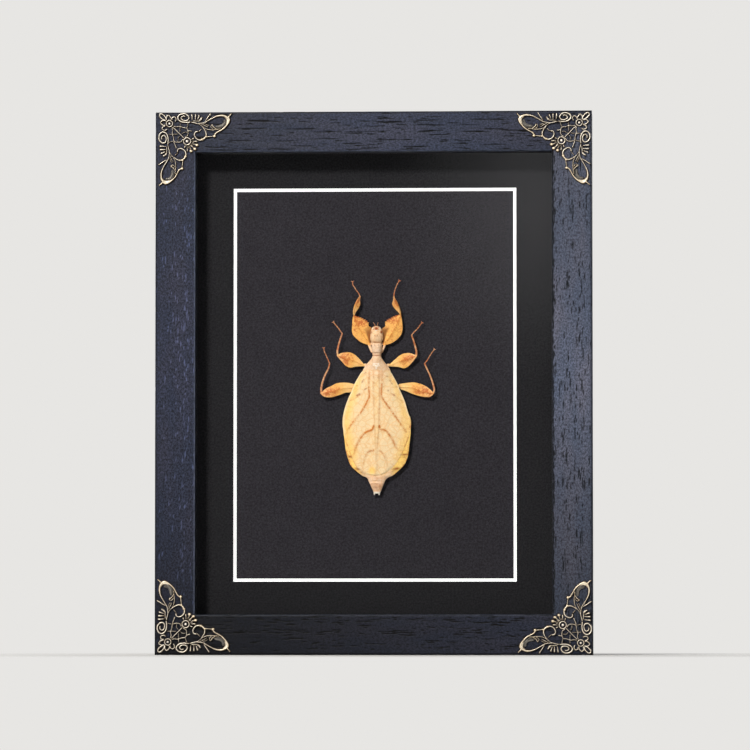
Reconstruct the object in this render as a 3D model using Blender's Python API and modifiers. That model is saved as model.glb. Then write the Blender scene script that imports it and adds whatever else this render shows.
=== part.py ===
"""A leaf insect mounted in a glazed box frame, with a filigree plate on each corner of the frame.

Metres, +Z up. The front of the frame faces -Y and +X is to the right as it is looked at. The origin is
the centre of the foot print, on the surface that the frame stands on. Lists of points are written in
millimetres.
"""

import math

import bmesh
import bpy
import numpy as np
from mathutils import Matrix, Vector

MM = 0.001
GAP = 0.3 * MM

# The wooden frame: four mitred mouldings with a rebate behind the front lip
FRAME_WIDTH = 204.0 * MM
FRAME_HEIGHT = 253.5 * MM
FRAME_DEPTH = 30.0 * MM
FACE_WIDTH = 18.8 * MM
REBATE_WIDTH = 6.0 * MM
LIP_DEPTH = 5.0 * MM
ARRIS = 0.9 * MM
ARRIS_STEPS = 3

# What lies in the rebate, from the glass backwards
GLASS_THICKNESS = 2.0 * MM
SPACER_DEPTH = 7.5 * MM
SPACER_WIDTH = 5.4 * MM
MAT_THICKNESS = 1.4 * MM
CARD_THICKNESS = 1.6 * MM
PANEL_THICKNESS = 3.0 * MM

# The window cut in the mat, measured on its front face, and how far its centre is below the frame's
WINDOW_WIDTH = 132.7 * MM
WINDOW_HEIGHT = 184.5 * MM
WINDOW_DROP = 0.3 * MM

# The corner plates, their pins and the hanger on the back
PLATE_THICKNESS = 0.9 * MM
PIN_HEIGHT = 1.3 * MM
HANGER_THICKNESS = 1.0 * MM
NAIL_HEAD_RADIUS = 2.0 * MM
NAIL_HEAD_HEIGHT = 0.8 * MM

# The hanger's outline, in millimetres from its lowest teeth, and how far above the rebate these are. It has
# a plain ear at each end for its nail
HANGER_LENGTH, HANGER_TOP = 42.0, 7.5
EAR_LENGTH, EAR_FOOT, NAIL_RISE = 6.0, 3.0, 5.2
TEETH, TOOTH_DEPTH = 7, 1.6
HANGER_LIFT = 2.0

# The steel points that hold the back panel in, in millimetres
TAB_LENGTH, TAB_WIDTH, TAB_POINT = 14.0, 6.0, 3.0
TAB_THICKNESS = 0.6 * MM

# Depths, from the front of the pins to the back of the hanger's nails
FRONT_PROUD = PIN_HEIGHT + GAP
BACK_PROUD = HANGER_THICKNESS + NAIL_HEAD_HEIGHT + 2 * GAP
FRONT_Y = FRONT_PROUD - (FRONT_PROUD + FRAME_DEPTH + BACK_PROUD) / 2
BACK_Y = FRONT_Y + FRAME_DEPTH
GLASS_Y = FRONT_Y + LIP_DEPTH + GAP
SPACER_Y = GLASS_Y + GLASS_THICKNESS + GAP
MAT_Y = SPACER_Y + SPACER_DEPTH + GAP
CARD_Y = MAT_Y + MAT_THICKNESS + GAP
PANEL_Y = CARD_Y + CARD_THICKNESS + GAP
PANEL_BACK_Y = PANEL_Y + PANEL_THICKNESS
REBATE_HALF_WIDTH = FRAME_WIDTH / 2 - FACE_WIDTH + REBATE_WIDTH
REBATE_HALF_HEIGHT = FRAME_HEIGHT / 2 - FACE_WIDTH + REBATE_WIDTH
MIDDLE_Z = FRAME_HEIGHT / 2

# The insect's own axes start at this point of the card. Its heights are measured off the card
INSECT_X = 0.8 * MM
INSECT_Z = 124.4 * MM

# Body sections from the head to the tail: place along the axis, left and right half width, then the heights
# of the rim, the back and the belly, and how thin the rim is (1 is an ellipse, 2 a lens)
BODY_SECTIONS = [
    (29.4, 0.8, 0.9, 3.6, 4.3, 2.8, 1.0),
    (28.6, 1.9, 2.0, 3.7, 5.0, 2.1, 1.0),
    (27.0, 2.6, 2.9, 3.8, 5.6, 1.5, 1.0),
    (25.0, 2.85, 3.1, 3.8, 6.0, 1.2, 1.0),
    (23.0, 2.8, 3.0, 3.7, 5.8, 1.2, 1.0),
    (21.7, 2.3, 2.4, 3.6, 5.1, 1.5, 1.0),
    (21.1, 2.1, 2.2, 3.5, 4.8, 1.6, 1.0),
    (20.4, 2.3, 2.6, 3.5, 5.3, 1.4, 1.0),
    (18.6, 2.2, 2.6, 3.4, 5.7, 1.1, 1.0),
    (16.7, 1.85, 2.4, 3.3, 5.4, 1.1, 1.0),
    (15.7, 1.75, 2.15, 3.2, 4.9, 1.2, 1.0),
    (14.6, 2.1, 2.5, 3.2, 5.5, 1.0, 1.0),
    (12.8, 3.5, 3.6, 3.1, 5.8, 0.7, 1.1),
    (11.2, 4.9, 5.0, 3.0, 5.9, 0.5, 1.4),
    (9.4, 6.0, 6.2, 3.0, 5.6, 0.4, 1.8),
    (7.0, 6.9, 7.0, 3.0, 5.0, 0.3, 2.0),
    (1.4, 9.9, 10.0, 3.0, 4.6, 0.3, 2.0),
    (-5.6, 13.0, 12.8, 3.0, 4.5, 0.3, 2.0),
    (-11.0, 14.8, 14.6, 3.0, 4.5, 0.3, 2.0),
    (-15.5, 15.4, 15.6, 3.0, 4.5, 0.3, 2.0),
    (-20.7, 15.4, 16.1, 3.0, 4.4, 0.3, 2.0),
    (-24.2, 14.9, 15.7, 2.9, 4.3, 0.3, 2.0),
    (-28.6, 14.4, 15.2, 2.8, 4.2, 0.3, 2.0),
    (-32.5, 13.4, 14.5, 2.7, 4.1, 0.3, 2.0),
    (-35.8, 12.1, 12.9, 2.6, 4.0, 0.3, 2.0),
    (-38.3, 9.7, 10.4, 2.5, 3.9, 0.4, 2.0),
    (-40.6, 6.8, 7.7, 2.4, 3.8, 0.5, 2.0),
    (-42.2, 4.1, 4.7, 2.3, 3.8, 0.6, 1.6),
    (-43.4, 3.6, 3.9, 2.3, 3.7, 0.8, 1.2),
    (-46.2, 2.3, 2.8, 2.2, 3.5, 1.0, 1.0),
    (-48.0, 1.5, 2.1, 2.2, 3.2, 1.2, 1.0),
    (-49.0, 1.2, 1.6, 2.2, 2.8, 1.5, 1.0),
]
BODY_STATIONS = 44
SMOOTH_ANGLE = 50
BODY_SIDES = 12
RIM_HALF = 0.12
TAIL_TIPS = {"left": [(-0.85, -48.2), (-1.0, -49.7)], "right": [(1.05, -48.2), (1.3, -49.7)]}
TAIL_TIP_HEIGHTS, TAIL_TIP_RADII = (2.3, 2.2), (0.42, 0.2)

# The outer edge of each forewing, from the shoulder to the tip at the middle of the abdomen
LEFT_WING_EDGE = [
    (-4.9, 9.6), (-6.9, 7.9), (-8.5, 5.4), (-10.1, 2.6), (-11.8, -1.4), (-13.6, -5.6), (-15.0, -9.9),
    (-15.8, -14.1), (-15.8, -17.4), (-15.2, -20.9), (-14.3, -24.6), (-13.0, -28.6), (-11.2, -33.3),
    (-8.9, -37.2), (-5.6, -39.6), (-1.2, -40.6),
]
RIGHT_WING_EDGE = [
    (4.9, 9.6), (6.9, 7.6), (8.3, 5.2), (9.7, 2.6), (11.4, -1.4), (13.2, -5.6), (14.5, -9.9), (15.0, -11.6),
    (15.9, -13.6), (16.2, -16.6), (15.9, -19.8), (15.0, -23.4), (13.6, -27.0), (11.8, -31.0),
    (9.6, -34.4), (7.0, -37.4), (4.2, -39.4), (1.2, -40.6),
]
WING_TOP, WING_TIP = 9.2, -40.4
WING_GAP_AT_AXIS = 0.17
WING_THICKNESS = 0.5
WING_CLEARANCE = 0.38
WING_OVERHANG = 0.3
WING_COLUMNS, WING_ROWS = 6, 20

# Legs: the two edges and the rib of each leafy blade from the body outwards, then the paths of the bare
# segments
LEGS = {
    "fore_leg_left": {
        "blades": [
            dict(
                outer=[(-3.1, 20.1), (-5.3, 20.1), (-7.4, 20.8), (-9.6, 22.4), (-11.3, 24.8), (-11.7, 26.8),
                       (-11.5, 29.9), (-11.1, 33.4), (-10.8, 34.5)],
                rib=[(-3.0, 20.5), (-5.8, 24.4), (-8.8, 29.6), (-10.5, 34.4)],
                inner=[(-2.9, 21.2), (-3.4, 23.0), (-3.6, 26.0), (-3.4, 29.2), (-3.8, 30.6),
                       (-4.6, 31.7), (-5.8, 32.5), (-7.4, 33.3), (-9.1, 33.9), (-10.2, 34.4)],
                heights=(2.0, 2.6, 3.0), toothed=True),
            dict(
                outer=[(-10.8, 34.2), (-11.0, 36.3), (-10.5, 38.8), (-9.4, 41.4), (-8.2, 43.2),
                       (-7.9, 43.7)],
                rib=[(-10.5, 34.2), (-10.4, 36.7), (-9.5, 39.5), (-8.3, 41.8), (-7.7, 43.6)],
                inner=[(-10.2, 34.4), (-9.9, 35.5), (-9.0, 36.6), (-7.8, 38.4), (-7.2, 39.8), (-7.5, 41.4),
                       (-7.4, 43.5)],
                heights=(3.0, 3.2, 3.0), toothed=False),
        ],
        "tarsus": [(-7.7, 43.2), (-8.4, 44.9), (-9.4, 46.2), (-10.3, 47.7), (-11.1, 48.9), (-11.2, 50.1)],
    },
    "fore_leg_right": {
        "blades": [
            dict(
                outer=[(3.5, 19.9), (5.6, 20.2), (8.3, 21.2), (11.0, 23.3), (12.3, 25.8), (12.7, 27.7),
                       (12.5, 31.1), (11.9, 33.8), (11.6, 35.1)],
                rib=[(3.3, 20.3), (6.4, 24.0), (9.3, 28.7), (11.3, 35.0)],
                inner=[(3.2, 20.9), (3.8, 23.0), (4.2, 26.0), (4.0, 29.4), (4.3, 31.1), (5.2, 32.1),
                       (6.9, 33.1), (9.2, 34.2), (10.9, 34.8)],
                heights=(2.0, 2.6, 3.0), toothed=True),
            dict(
                outer=[(11.7, 34.7), (11.4, 36.3), (10.8, 38.4), (9.8, 40.7), (8.8, 42.4),
                       (8.4, 43.3)],
                rib=[(11.3, 34.7), (10.9, 36.9), (9.7, 40.0), (8.6, 42.0), (8.2, 43.2)],
                inner=[(11.0, 34.7), (10.6, 35.5), (9.0, 37.2), (7.8, 38.8), (7.4, 39.9), (7.8, 41.4),
                       (7.9, 43.2)],
                heights=(3.0, 3.2, 3.0), toothed=False),
        ],
        "tarsus": [(8.2, 42.8), (8.3, 44.7), (8.7, 46.4), (9.4, 48.3), (10.2, 49.9), (10.6, 50.5)],
    },
    "mid_leg_left": {
        "blades": [
            dict(
                outer=[(-5.8, 11.5), (-8.2, 14.3), (-10.4, 16.2), (-12.4, 17.1), (-14.8, 17.1),
                       (-16.4, 16.8), (-17.5, 16.3), (-18.1, 15.7)],
                rib=[(-5.9, 10.9), (-9.5, 12.7), (-14.1, 14.1), (-18.1, 15.4)],
                inner=[(-6.3, 10.6), (-9.6, 10.5), (-12.4, 10.0), (-14.3, 10.8), (-16.1, 12.7),
                       (-17.5, 14.3), (-18.1, 15.1)],
                heights=(1.7, 2.6, 3.2), toothed=False),
        ],
        "tibia": [(-18.0, 15.1), (-18.3, 17.4), (-17.8, 20.2), (-17.0, 23.2), (-16.3, 25.3), (-16.0, 26.3)],
        "tarsus": [(-16.1, 26.0), (-17.5, 28.0), (-19.0, 29.9), (-20.1, 31.2)],
    },
    "mid_leg_right": {
        "blades": [
            dict(
                outer=[(6.1, 11.5), (8.6, 13.7), (10.9, 15.6), (12.7, 16.5), (14.5, 16.8), (16.2, 16.6),
                       (17.8, 16.0), (18.7, 15.6)],
                rib=[(6.2, 10.9), (9.7, 12.5), (14.1, 13.9), (18.7, 15.3)],
                inner=[(6.7, 10.5), (10.2, 10.3), (13.2, 9.7), (14.7, 10.4), (16.5, 12.1), (18.0, 13.9),
                       (18.8, 15.0)],
                heights=(1.7, 2.6, 3.2), toothed=False),
        ],
        "tibia": [(18.6, 15.0), (18.8, 17.2), (18.2, 19.9), (17.4, 22.7), (16.6, 24.9), (16.5, 25.4)],
        "tarsus": [(16.5, 25.2), (17.8, 26.7), (19.6, 28.6), (20.7, 30.2), (21.2, 30.8)],
    },
    "hind_leg_left": {
        "blades": [
            dict(
                outer=[(-10.3, 2.2), (-12.7, 2.8), (-16.0, 3.0), (-18.6, 2.7), (-21.4, 1.3), (-23.7, 0.2),
                       (-24.9, -0.8), (-25.9, -1.9)],
                rib=[(-10.5, 0.7), (-15.6, 0.2), (-21.1, -1.4), (-25.8, -2.3)],
                inner=[(-11.4, -0.8), (-12.3, -1.5), (-14.4, -1.7), (-17.1, -2.7), (-20.2, -3.7),
                       (-22.9, -3.9), (-24.7, -3.5), (-25.8, -2.7)],
                heights=(1.5, 2.3, 3.0), toothed=False),
        ],
        "tibia": [(-25.7, -2.6), (-25.9, -0.5), (-25.6, 1.9), (-25.0, 4.0), (-24.0, 6.7), (-22.6, 9.4),
                  (-21.9, 12.2)],
        "tarsus": [(-22.0, 11.9), (-22.6, 13.5), (-23.7, 15.9), (-24.5, 17.8), (-24.7, 19.0)],
    },
    "hind_leg_right": {
        "blades": [
            dict(
                outer=[(10.4, 2.2), (14.4, 2.8), (17.6, 3.0), (20.3, 2.4), (22.4, 1.6), (24.3, 0.4),
                       (25.7, -0.8), (26.6, -1.8)],
                rib=[(10.6, 1.0), (15.8, 0.5), (21.4, -1.2), (26.5, -2.4)],
                inner=[(11.4, -0.2), (14.0, -1.1), (16.5, -2.2), (19.5, -3.2), (22.6, -3.8), (25.1, -3.8),
                       (26.4, -3.0)],
                heights=(1.5, 2.3, 3.0), toothed=False),
        ],
        "tibia": [(26.4, -2.7), (27.1, -0.6), (26.7, 1.6), (25.7, 4.8), (24.3, 8.1), (22.9, 11.1),
                  (22.5, 12.1)],
        "tarsus": [(22.5, 11.8), (23.5, 12.9), (24.8, 15.1), (26.2, 17.2), (27.0, 18.3)],
    },
}
BLADE_STATIONS = 15
BLADE_RIB_THICKNESS = 0.9
BLADE_EDGE_THICKNESS = 0.35
TOOTH_HEIGHT = 0.45
TOOTHED_SHARE = (0.5, 0.97)
TUBE_STATIONS = 8
TIBIA_RADII = (0.47, 0.33)
TIBIA_HEIGHTS = (3.1, 2.8)
TARSUS_RADII = (0.26, 0.21)
TARSUS_HEIGHTS = (2.9, 2.2)
FOOT_RADIUS = 0.42

ANTENNAE = {
    "antenna_left": [(-0.6, 29.95), (-1.0, 30.5), (-1.45, 31.1)],
    "antenna_right": [(0.55, 29.95), (0.72, 30.6), (0.85, 31.2)],
}
ANTENNA_RADII = (0.18, 0.12)
ANTENNA_HEIGHTS = (3.9, 4.3)
ANTENNA_STATIONS = 4

# The filigree plate, from the frame's corner: one arm of its outline and of its openings. The other arm is
# the same with the two coordinates swapped
PLATE_ARM = [
    (2.9, 1.9), (4.5, 3.5), (4.9, 1.9), (5.9, 1.3), (6.8, 2.1), (7.1, 3.6), (8.3, 2.2), (9.0, 3.2),
    (9.3, 4.4), (9.7, 2.4), (11.1, 1.1), (12.8, 0.8), (14.6, 1.4), (15.4, 3.0), (15.9, 4.0), (16.5, 3.6),
    (16.6, 1.2), (17.5, 0.9), (18.8, 1.2), (20.4, 1.5), (21.7, 3.0), (20.9, 4.2), (23.2, 4.6), (25.0, 3.5),
    (25.9, 0.9), (26.8, 1.1), (26.4, 3.1), (28.4, 2.0), (30.8, 1.4), (33.2, 1.8), (35.2, 0.8), (35.9, 1.3),
    (34.8, 2.9), (34.3, 5.0), (32.9, 7.4), (30.3, 9.7), (28.5, 11.2), (27.9, 12.6), (26.7, 12.9),
    (25.9, 12.1), (24.0, 12.5), (22.4, 14.0), (20.6, 14.7), (20.2, 15.6), (20.3, 16.7), (19.3, 17.7),
]
PLATE_START, PLATE_END = (1.3, 1.3), (18.5, 18.5)
PLATE_OPENINGS = [
    [(25.2, 6.2), (27.6, 4.0), (30.4, 3.0), (32.6, 3.4), (32.8, 5.2), (31.0, 7.4), (28.4, 9.6),
     (26.2, 10.9), (24.9, 10.6), (25.0, 8.4)],
    [(17.4, 10.2), (18.2, 8.4), (20.2, 7.2), (22.4, 8.2), (23.2, 10.0), (22.2, 12.2), (20.2, 13.0),
     (18.2, 12.4)],
    [(10.6, 6.4), (13.2, 6.2), (16.4, 6.3), (19.0, 6.2), (17.0, 7.6), (16.0, 9.6), (14.2, 9.9),
     (12.4, 8.4)],
    [(11.6, 3.2), (12.8, 2.4), (13.8, 3.0), (13.4, 4.2), (12.0, 4.4)],
    [(17.8, 2.2), (19.4, 2.4), (19.8, 3.4), (18.0, 3.6)],
]
LEAF_OPENING = [(8.6, 8.6), (10.6, 9.0), (11.6, 10.4), (11.6, 11.6), (10.4, 11.6), (9.0, 10.6)]
PIN_PLACES = [(5.9, 5.9), (14.2, 14.2)]
PIN_HOLE_RADII = [1.15, 1.35]
PIN_HEAD_RADII = [0.7, 0.8]
HOLE_POINTS = 10

# How far each plate was nailed from its own place, to the right and upwards
PLATE_SHIFTS = {
    "bottom_left": (0.4, 0.1),
    "top_left": (0.7, 0.5),
    "top_right": (0.0, 0.1),
    "bottom_right": (0.22, -0.35),
}

# Domed heads: the upright share of their height, and how finely they are turned
DOME_RIM = 0.25
DOME_STEPS = 3
DOME_SIDES = 12


def clear_scene():
    for obj in list(bpy.data.objects):
        bpy.data.objects.remove(obj)


def collection(name):
    made = bpy.data.collections.new(name)
    bpy.context.scene.collection.children.link(made)
    return made


def material(name, colour, roughness, metallic=0.0, alpha=1.0):
    made = bpy.data.materials.new(name)
    made.use_nodes = True
    shader = made.node_tree.nodes["Principled BSDF"]
    shader.inputs["Base Color"].default_value = (*colour, 1.0)
    shader.inputs["Roughness"].default_value = roughness
    shader.inputs["Metallic"].default_value = metallic
    shader.inputs["Alpha"].default_value = alpha
    return made


def object_of(name, mesh, finish, home):
    made = bpy.data.objects.new(name, mesh)
    home.objects.link(made)
    if finish and not mesh.materials:
        mesh.materials.append(finish)
    return made


def mesh_of(name, bm):
    bmesh.ops.recalc_face_normals(bm, faces=bm.faces)
    mesh = bpy.data.meshes.new(name)
    bm.to_mesh(mesh)
    bm.free()
    return mesh


def smooth_by_angle(obj, degrees=40):
    obj.data.shade_smooth()
    obj.data.set_sharp_from_angle(angle=math.radians(degrees))


def box(name, low, high, finish, home):
    """A box between two corners."""
    bm = bmesh.new()
    bmesh.ops.create_cube(bm, size=1.0)
    size = Vector(high) - Vector(low)
    middle = (Vector(high) + Vector(low)) / 2
    place = Matrix.Translation(middle) @ Matrix.Diagonal((*size, 1.0))
    bmesh.ops.transform(bm, matrix=place, verts=bm.verts)
    return object_of(name, mesh_of(name, bm), finish, home)


def evaluated_mesh(obj, name):
    """The object's mesh as its modifiers or its curve make it, in world space, coincident points joined."""
    bpy.context.view_layer.update()
    graph = bpy.context.evaluated_depsgraph_get()
    mesh = bpy.data.meshes.new_from_object(obj.evaluated_get(graph))
    mesh.transform(obj.matrix_world)
    bm = bmesh.new()
    bm.from_mesh(mesh)
    bmesh.ops.remove_doubles(bm, verts=bm.verts, dist=0.002 * MM)
    bmesh.ops.recalc_face_normals(bm, faces=bm.faces)
    bm.to_mesh(mesh)
    bm.free()
    mesh.name = name
    return mesh


def joined(name, objects, finish, home):
    """Overlapping objects made one closed body."""
    base = objects[0]
    for other in objects[1:]:
        step = base.modifiers.new("join", "BOOLEAN")
        step.operation = "UNION"
        step.object = other
    mesh = evaluated_mesh(base, name)
    for obj in objects:
        bpy.data.objects.remove(obj)
    mesh.materials.clear()
    return object_of(name, mesh, finish, home)


def curve_through(points, count):
    """count points, evenly spread along a smooth curve through the given ones."""
    known = np.array(points, float)
    steps = np.linalg.norm(np.diff(known, axis=0), axis=1)
    at = np.concatenate([[0.0], np.cumsum(steps)])
    slopes = np.gradient(known, at, axis=0)
    fine = np.linspace(0.0, at[-1], 24 * len(known))
    index = np.clip(np.searchsorted(at, fine, side="right") - 1, 0, len(known) - 2)
    span = steps[index][:, None]
    t = ((fine - at[index])[:, None]) / span
    dense = (
        (2 * t**3 - 3 * t**2 + 1) * known[index]
        + (t**3 - 2 * t**2 + t) * span * slopes[index]
        + (-2 * t**3 + 3 * t**2) * known[index + 1]
        + (t**3 - t**2) * span * slopes[index + 1]
    )
    along = np.concatenate([[0.0], np.cumsum(np.linalg.norm(np.diff(dense, axis=0), axis=1))])
    wanted = np.linspace(0.0, along[-1], count)
    return np.stack([np.interp(wanted, along, dense[:, k]) for k in range(dense.shape[1])], axis=1)


def loft(name, rings):
    """A closed skin over rings that all have the same number of points."""
    bm = bmesh.new()
    rows = [[bm.verts.new(Vector(point)) for point in ring] for ring in rings]
    sides = len(rows[0])
    for row, following in zip(rows, rows[1:]):
        for k in range(sides):
            after = (k + 1) % sides
            bm.faces.new((row[k], row[after], following[after], following[k]))
    bm.faces.new(rows[0])
    bm.faces.new(rows[-1])
    return mesh_of(name, bm)


def on_card(x, z, height):
    """A point of the insect, given in its own millimetres, in the frame's metres."""
    return (INSECT_X + x * MM, CARD_Y - height * MM, INSECT_Z + z * MM)


def flat_shape(name, outlines, thickness, matrix, finish, home):
    """A flat plate from closed outlines in millimetres: the first is its edge, the rest are openings."""
    curve = bpy.data.curves.new(name, "CURVE")
    curve.dimensions = "2D"
    curve.fill_mode = "BOTH"
    curve.extrude = thickness / 2
    for outline in outlines:
        spline = curve.splines.new("POLY")
        spline.points.add(len(outline) - 1)
        spline.use_cyclic_u = True
        for point, (u, v) in zip(spline.points, outline):
            point.co = (u * MM, v * MM, 0.0, 1.0)
    guide = bpy.data.objects.new(name + "_outline", curve)
    home.objects.link(guide)
    guide.matrix_world = matrix
    mesh = evaluated_mesh(guide, name)
    bpy.data.objects.remove(guide)
    return object_of(name, mesh, finish, home)


def rail_profile():
    """The moulding's section as (distance in from the frame's outer edge, depth behind its front)."""
    corners = [
        ((ARRIS, ARRIS), math.radians(180)),
        ((FACE_WIDTH - ARRIS, ARRIS), math.radians(270)),
    ]
    points = []
    for (across, deep), start in corners:
        for step in range(ARRIS_STEPS + 1):
            angle = start + math.radians(90) * step / ARRIS_STEPS
            points.append((across + ARRIS * math.cos(angle), deep + ARRIS * math.sin(angle)))
    inner = FACE_WIDTH - REBATE_WIDTH
    points += [(FACE_WIDTH, LIP_DEPTH), (inner, LIP_DEPTH), (inner, FRAME_DEPTH), (0.0, FRAME_DEPTH)]
    return points


def moulding(name, length, turn, finish, home):
    """One mitred moulding. It is made along the foot of the frame and turned about the frame's middle."""
    half, miter_gap = length / 2, GAP / math.sqrt(2)
    rings = [
        [(side * (half - across - miter_gap), FRONT_Y + deep, across) for across, deep in rail_profile()]
        for side in (-1, 1)
    ]
    made = object_of(name, loft(name, rings), finish, home)
    return turned_about_middle(made, turn)


def turned_about_middle(obj, turn):
    """Sets a piece made along the foot against another side of the frame."""
    reach = {0: FRAME_HEIGHT, 180: FRAME_HEIGHT, 90: FRAME_WIDTH, 270: FRAME_WIDTH}[turn] / 2
    lift = Matrix.Translation((0, 0, MIDDLE_Z)) @ Matrix.Rotation(math.radians(turn), 4, "Y")
    obj.data.transform(lift @ Matrix.Translation((0, 0, -reach)))
    return obj


def frame_pieces(wood, home):
    for name, length, turn in [
        ("rail_bottom", FRAME_WIDTH, 0),
        ("stile_left", FRAME_HEIGHT, 90),
        ("rail_top", FRAME_WIDTH, 180),
        ("stile_right", FRAME_HEIGHT, 270),
    ]:
        smooth_by_angle(moulding(name, length, turn, wood, home))


def sheet_in_rebate(name, front, thickness, finish, home):
    """A flat sheet that fills the rebate from side to side."""
    half_width, half_height = REBATE_HALF_WIDTH - GAP, REBATE_HALF_HEIGHT - GAP
    low = (-half_width, front, MIDDLE_Z - half_height)
    high = (half_width, front + thickness, MIDDLE_Z + half_height)
    return box(name, low, high, finish, home)


def spacers(finish, home):
    """Four strips that stand the mat off the glass."""
    half_width, half_height = REBATE_HALF_WIDTH - GAP, REBATE_HALF_HEIGHT - GAP
    inside = half_height - SPACER_WIDTH - GAP
    for name, low, high in [
        ("spacer_top", (-half_width, half_height - SPACER_WIDTH), (half_width, half_height)),
        ("spacer_bottom", (-half_width, -half_height), (half_width, SPACER_WIDTH - half_height)),
        ("spacer_left", (-half_width, -inside), (SPACER_WIDTH - half_width, inside)),
        ("spacer_right", (half_width - SPACER_WIDTH, -inside), (half_width, inside)),
    ]:
        box(
            name,
            (low[0], SPACER_Y, MIDDLE_Z + low[1]),
            (high[0], SPACER_Y + SPACER_DEPTH, MIDDLE_Z + high[1]),
            finish,
            home,
        )


def window_mat(paper, core, home, cutters):
    """The mat, with the window cut at 45 degrees so that the board's white core shows all round it."""
    board = sheet_in_rebate("window_mat", MAT_Y, MAT_THICKNESS, paper, home)
    in_front, behind = MAT_THICKNESS, -2 * MAT_THICKNESS
    bm = bmesh.new()
    bmesh.ops.create_cube(bm, size=2.0)
    for vert in bm.verts:
        beyond = in_front if vert.co.y < 0 else behind
        across = vert.co.x * (WINDOW_WIDTH / 2 + beyond)
        up = vert.co.z * (WINDOW_HEIGHT / 2 + beyond)
        vert.co = (across, MAT_Y - beyond, MIDDLE_Z - WINDOW_DROP + up)
    cutter = object_of("window_cutter", mesh_of("window_cutter", bm), core, cutters)
    cutter.display_type = "WIRE"
    cutter.hide_render = True
    cut = board.modifiers.new("window", "BOOLEAN")
    cut.operation = "DIFFERENCE"
    cut.object = cutter
    cut.material_mode = "TRANSFER"


def back_tabs(finish, home):
    """Thin steel points pushed into the rebate's wall, flat on the back panel."""
    half, shoulder = TAB_WIDTH / 2, TAB_LENGTH - TAB_POINT
    outline = [(0, -half), (shoulder, -half), (TAB_LENGTH, 0), (shoulder, half), (0, half)]
    half_width, half_height = REBATE_HALF_WIDTH - GAP, REBATE_HALF_HEIGHT - GAP
    quarter = FRAME_HEIGHT / 4
    places = [
        (-half_width, quarter, 180), (-half_width, -quarter, 180),
        (half_width, quarter, 0), (half_width, -quarter, 0),
        (0.0, half_height, 90), (0.0, -half_height, 270),
    ]
    middle_y = PANEL_BACK_Y + GAP + TAB_THICKNESS / 2
    upright = Matrix.Rotation(math.radians(90), 4, "X")
    inwards = Matrix.Translation((-TAB_LENGTH * MM, 0, 0))
    for number, (x, z, turn) in enumerate(places, start=1):
        around = Matrix.Rotation(math.radians(-turn), 4, "Y")
        place = Matrix.Translation((x, middle_y, MIDDLE_Z + z)) @ around
        flat_shape(f"back_tab_{number}", [outline], TAB_THICKNESS, place @ upright @ inwards, finish, home)


def hanger(finish, home):
    """A saw-toothed hanger nailed to the back of the top rail."""
    half = HANGER_LENGTH / 2
    reach = half - EAR_LENGTH
    step = 2 * reach / TEETH
    notches = []
    for number in range(TEETH):
        left = number * step - reach
        notches += [(left, TOOTH_DEPTH), (left + step / 2, 0.0)]
    notches.append((reach, TOOTH_DEPTH))
    outline = [(-half, EAR_FOOT), *notches, (half, EAR_FOOT), (half, HANGER_TOP), (-half, HANGER_TOP)]
    height = FRAME_HEIGHT - FACE_WIDTH + REBATE_WIDTH + HANGER_LIFT * MM
    back = BACK_Y + GAP
    place = Matrix.Translation((0, back + HANGER_THICKNESS / 2, height))
    upright = Matrix.Rotation(math.radians(90), 4, "X")
    flat_shape("hanger_plate", [outline], HANGER_THICKNESS, place @ upright, finish, home)
    for name, side in (("hanger_nail_left", -1), ("hanger_nail_right", 1)):
        across = side * (half - EAR_LENGTH / 2) * MM
        place = (across, back + HANGER_THICKNESS + GAP, height + NAIL_RISE * MM)
        dome(name, place, NAIL_HEAD_RADIUS, NAIL_HEAD_HEIGHT, 1, finish, home)


def dome(name, place, radius, height, facing, finish, home):
    """A domed nail head standing on a surface. facing is -1 towards the front and 1 towards the back."""
    rim = height * DOME_RIM
    profile = [(0.0, height)]
    for step in range(1, DOME_STEPS + 1):
        angle = math.radians(90) * step / DOME_STEPS
        profile.append((radius * math.sin(angle), rim + (height - rim) * math.cos(angle)))
    profile += [(radius, 0.0), (0.0, 0.0)]
    bm = bmesh.new()
    line = [bm.verts.new((across, 0.0, up)) for across, up in profile]
    for first, second in zip(line, line[1:]):
        bm.edges.new((first, second))
    guide = object_of(name + "_profile", mesh_of(name, bm), None, home)
    turn = guide.modifiers.new("turn", "SCREW")
    turn.steps = turn.render_steps = DOME_SIDES
    turn.use_merge_vertices = True
    turn.merge_threshold = 0.01 * MM
    guide.matrix_world = Matrix.Translation(place) @ Matrix.Rotation(math.radians(-90 * facing), 4, "X")
    made = object_of(name, evaluated_mesh(guide, name), finish, home)
    bpy.data.objects.remove(guide)
    smooth_by_angle(made)


def ring_outline(middle, radius):
    steps = [2 * math.pi * k / HOLE_POINTS for k in range(HOLE_POINTS)]
    return [(middle[0] + radius * math.cos(a), middle[1] + radius * math.sin(a)) for a in steps]


def swapped(points):
    return [(v, u) for u, v in points]


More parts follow.
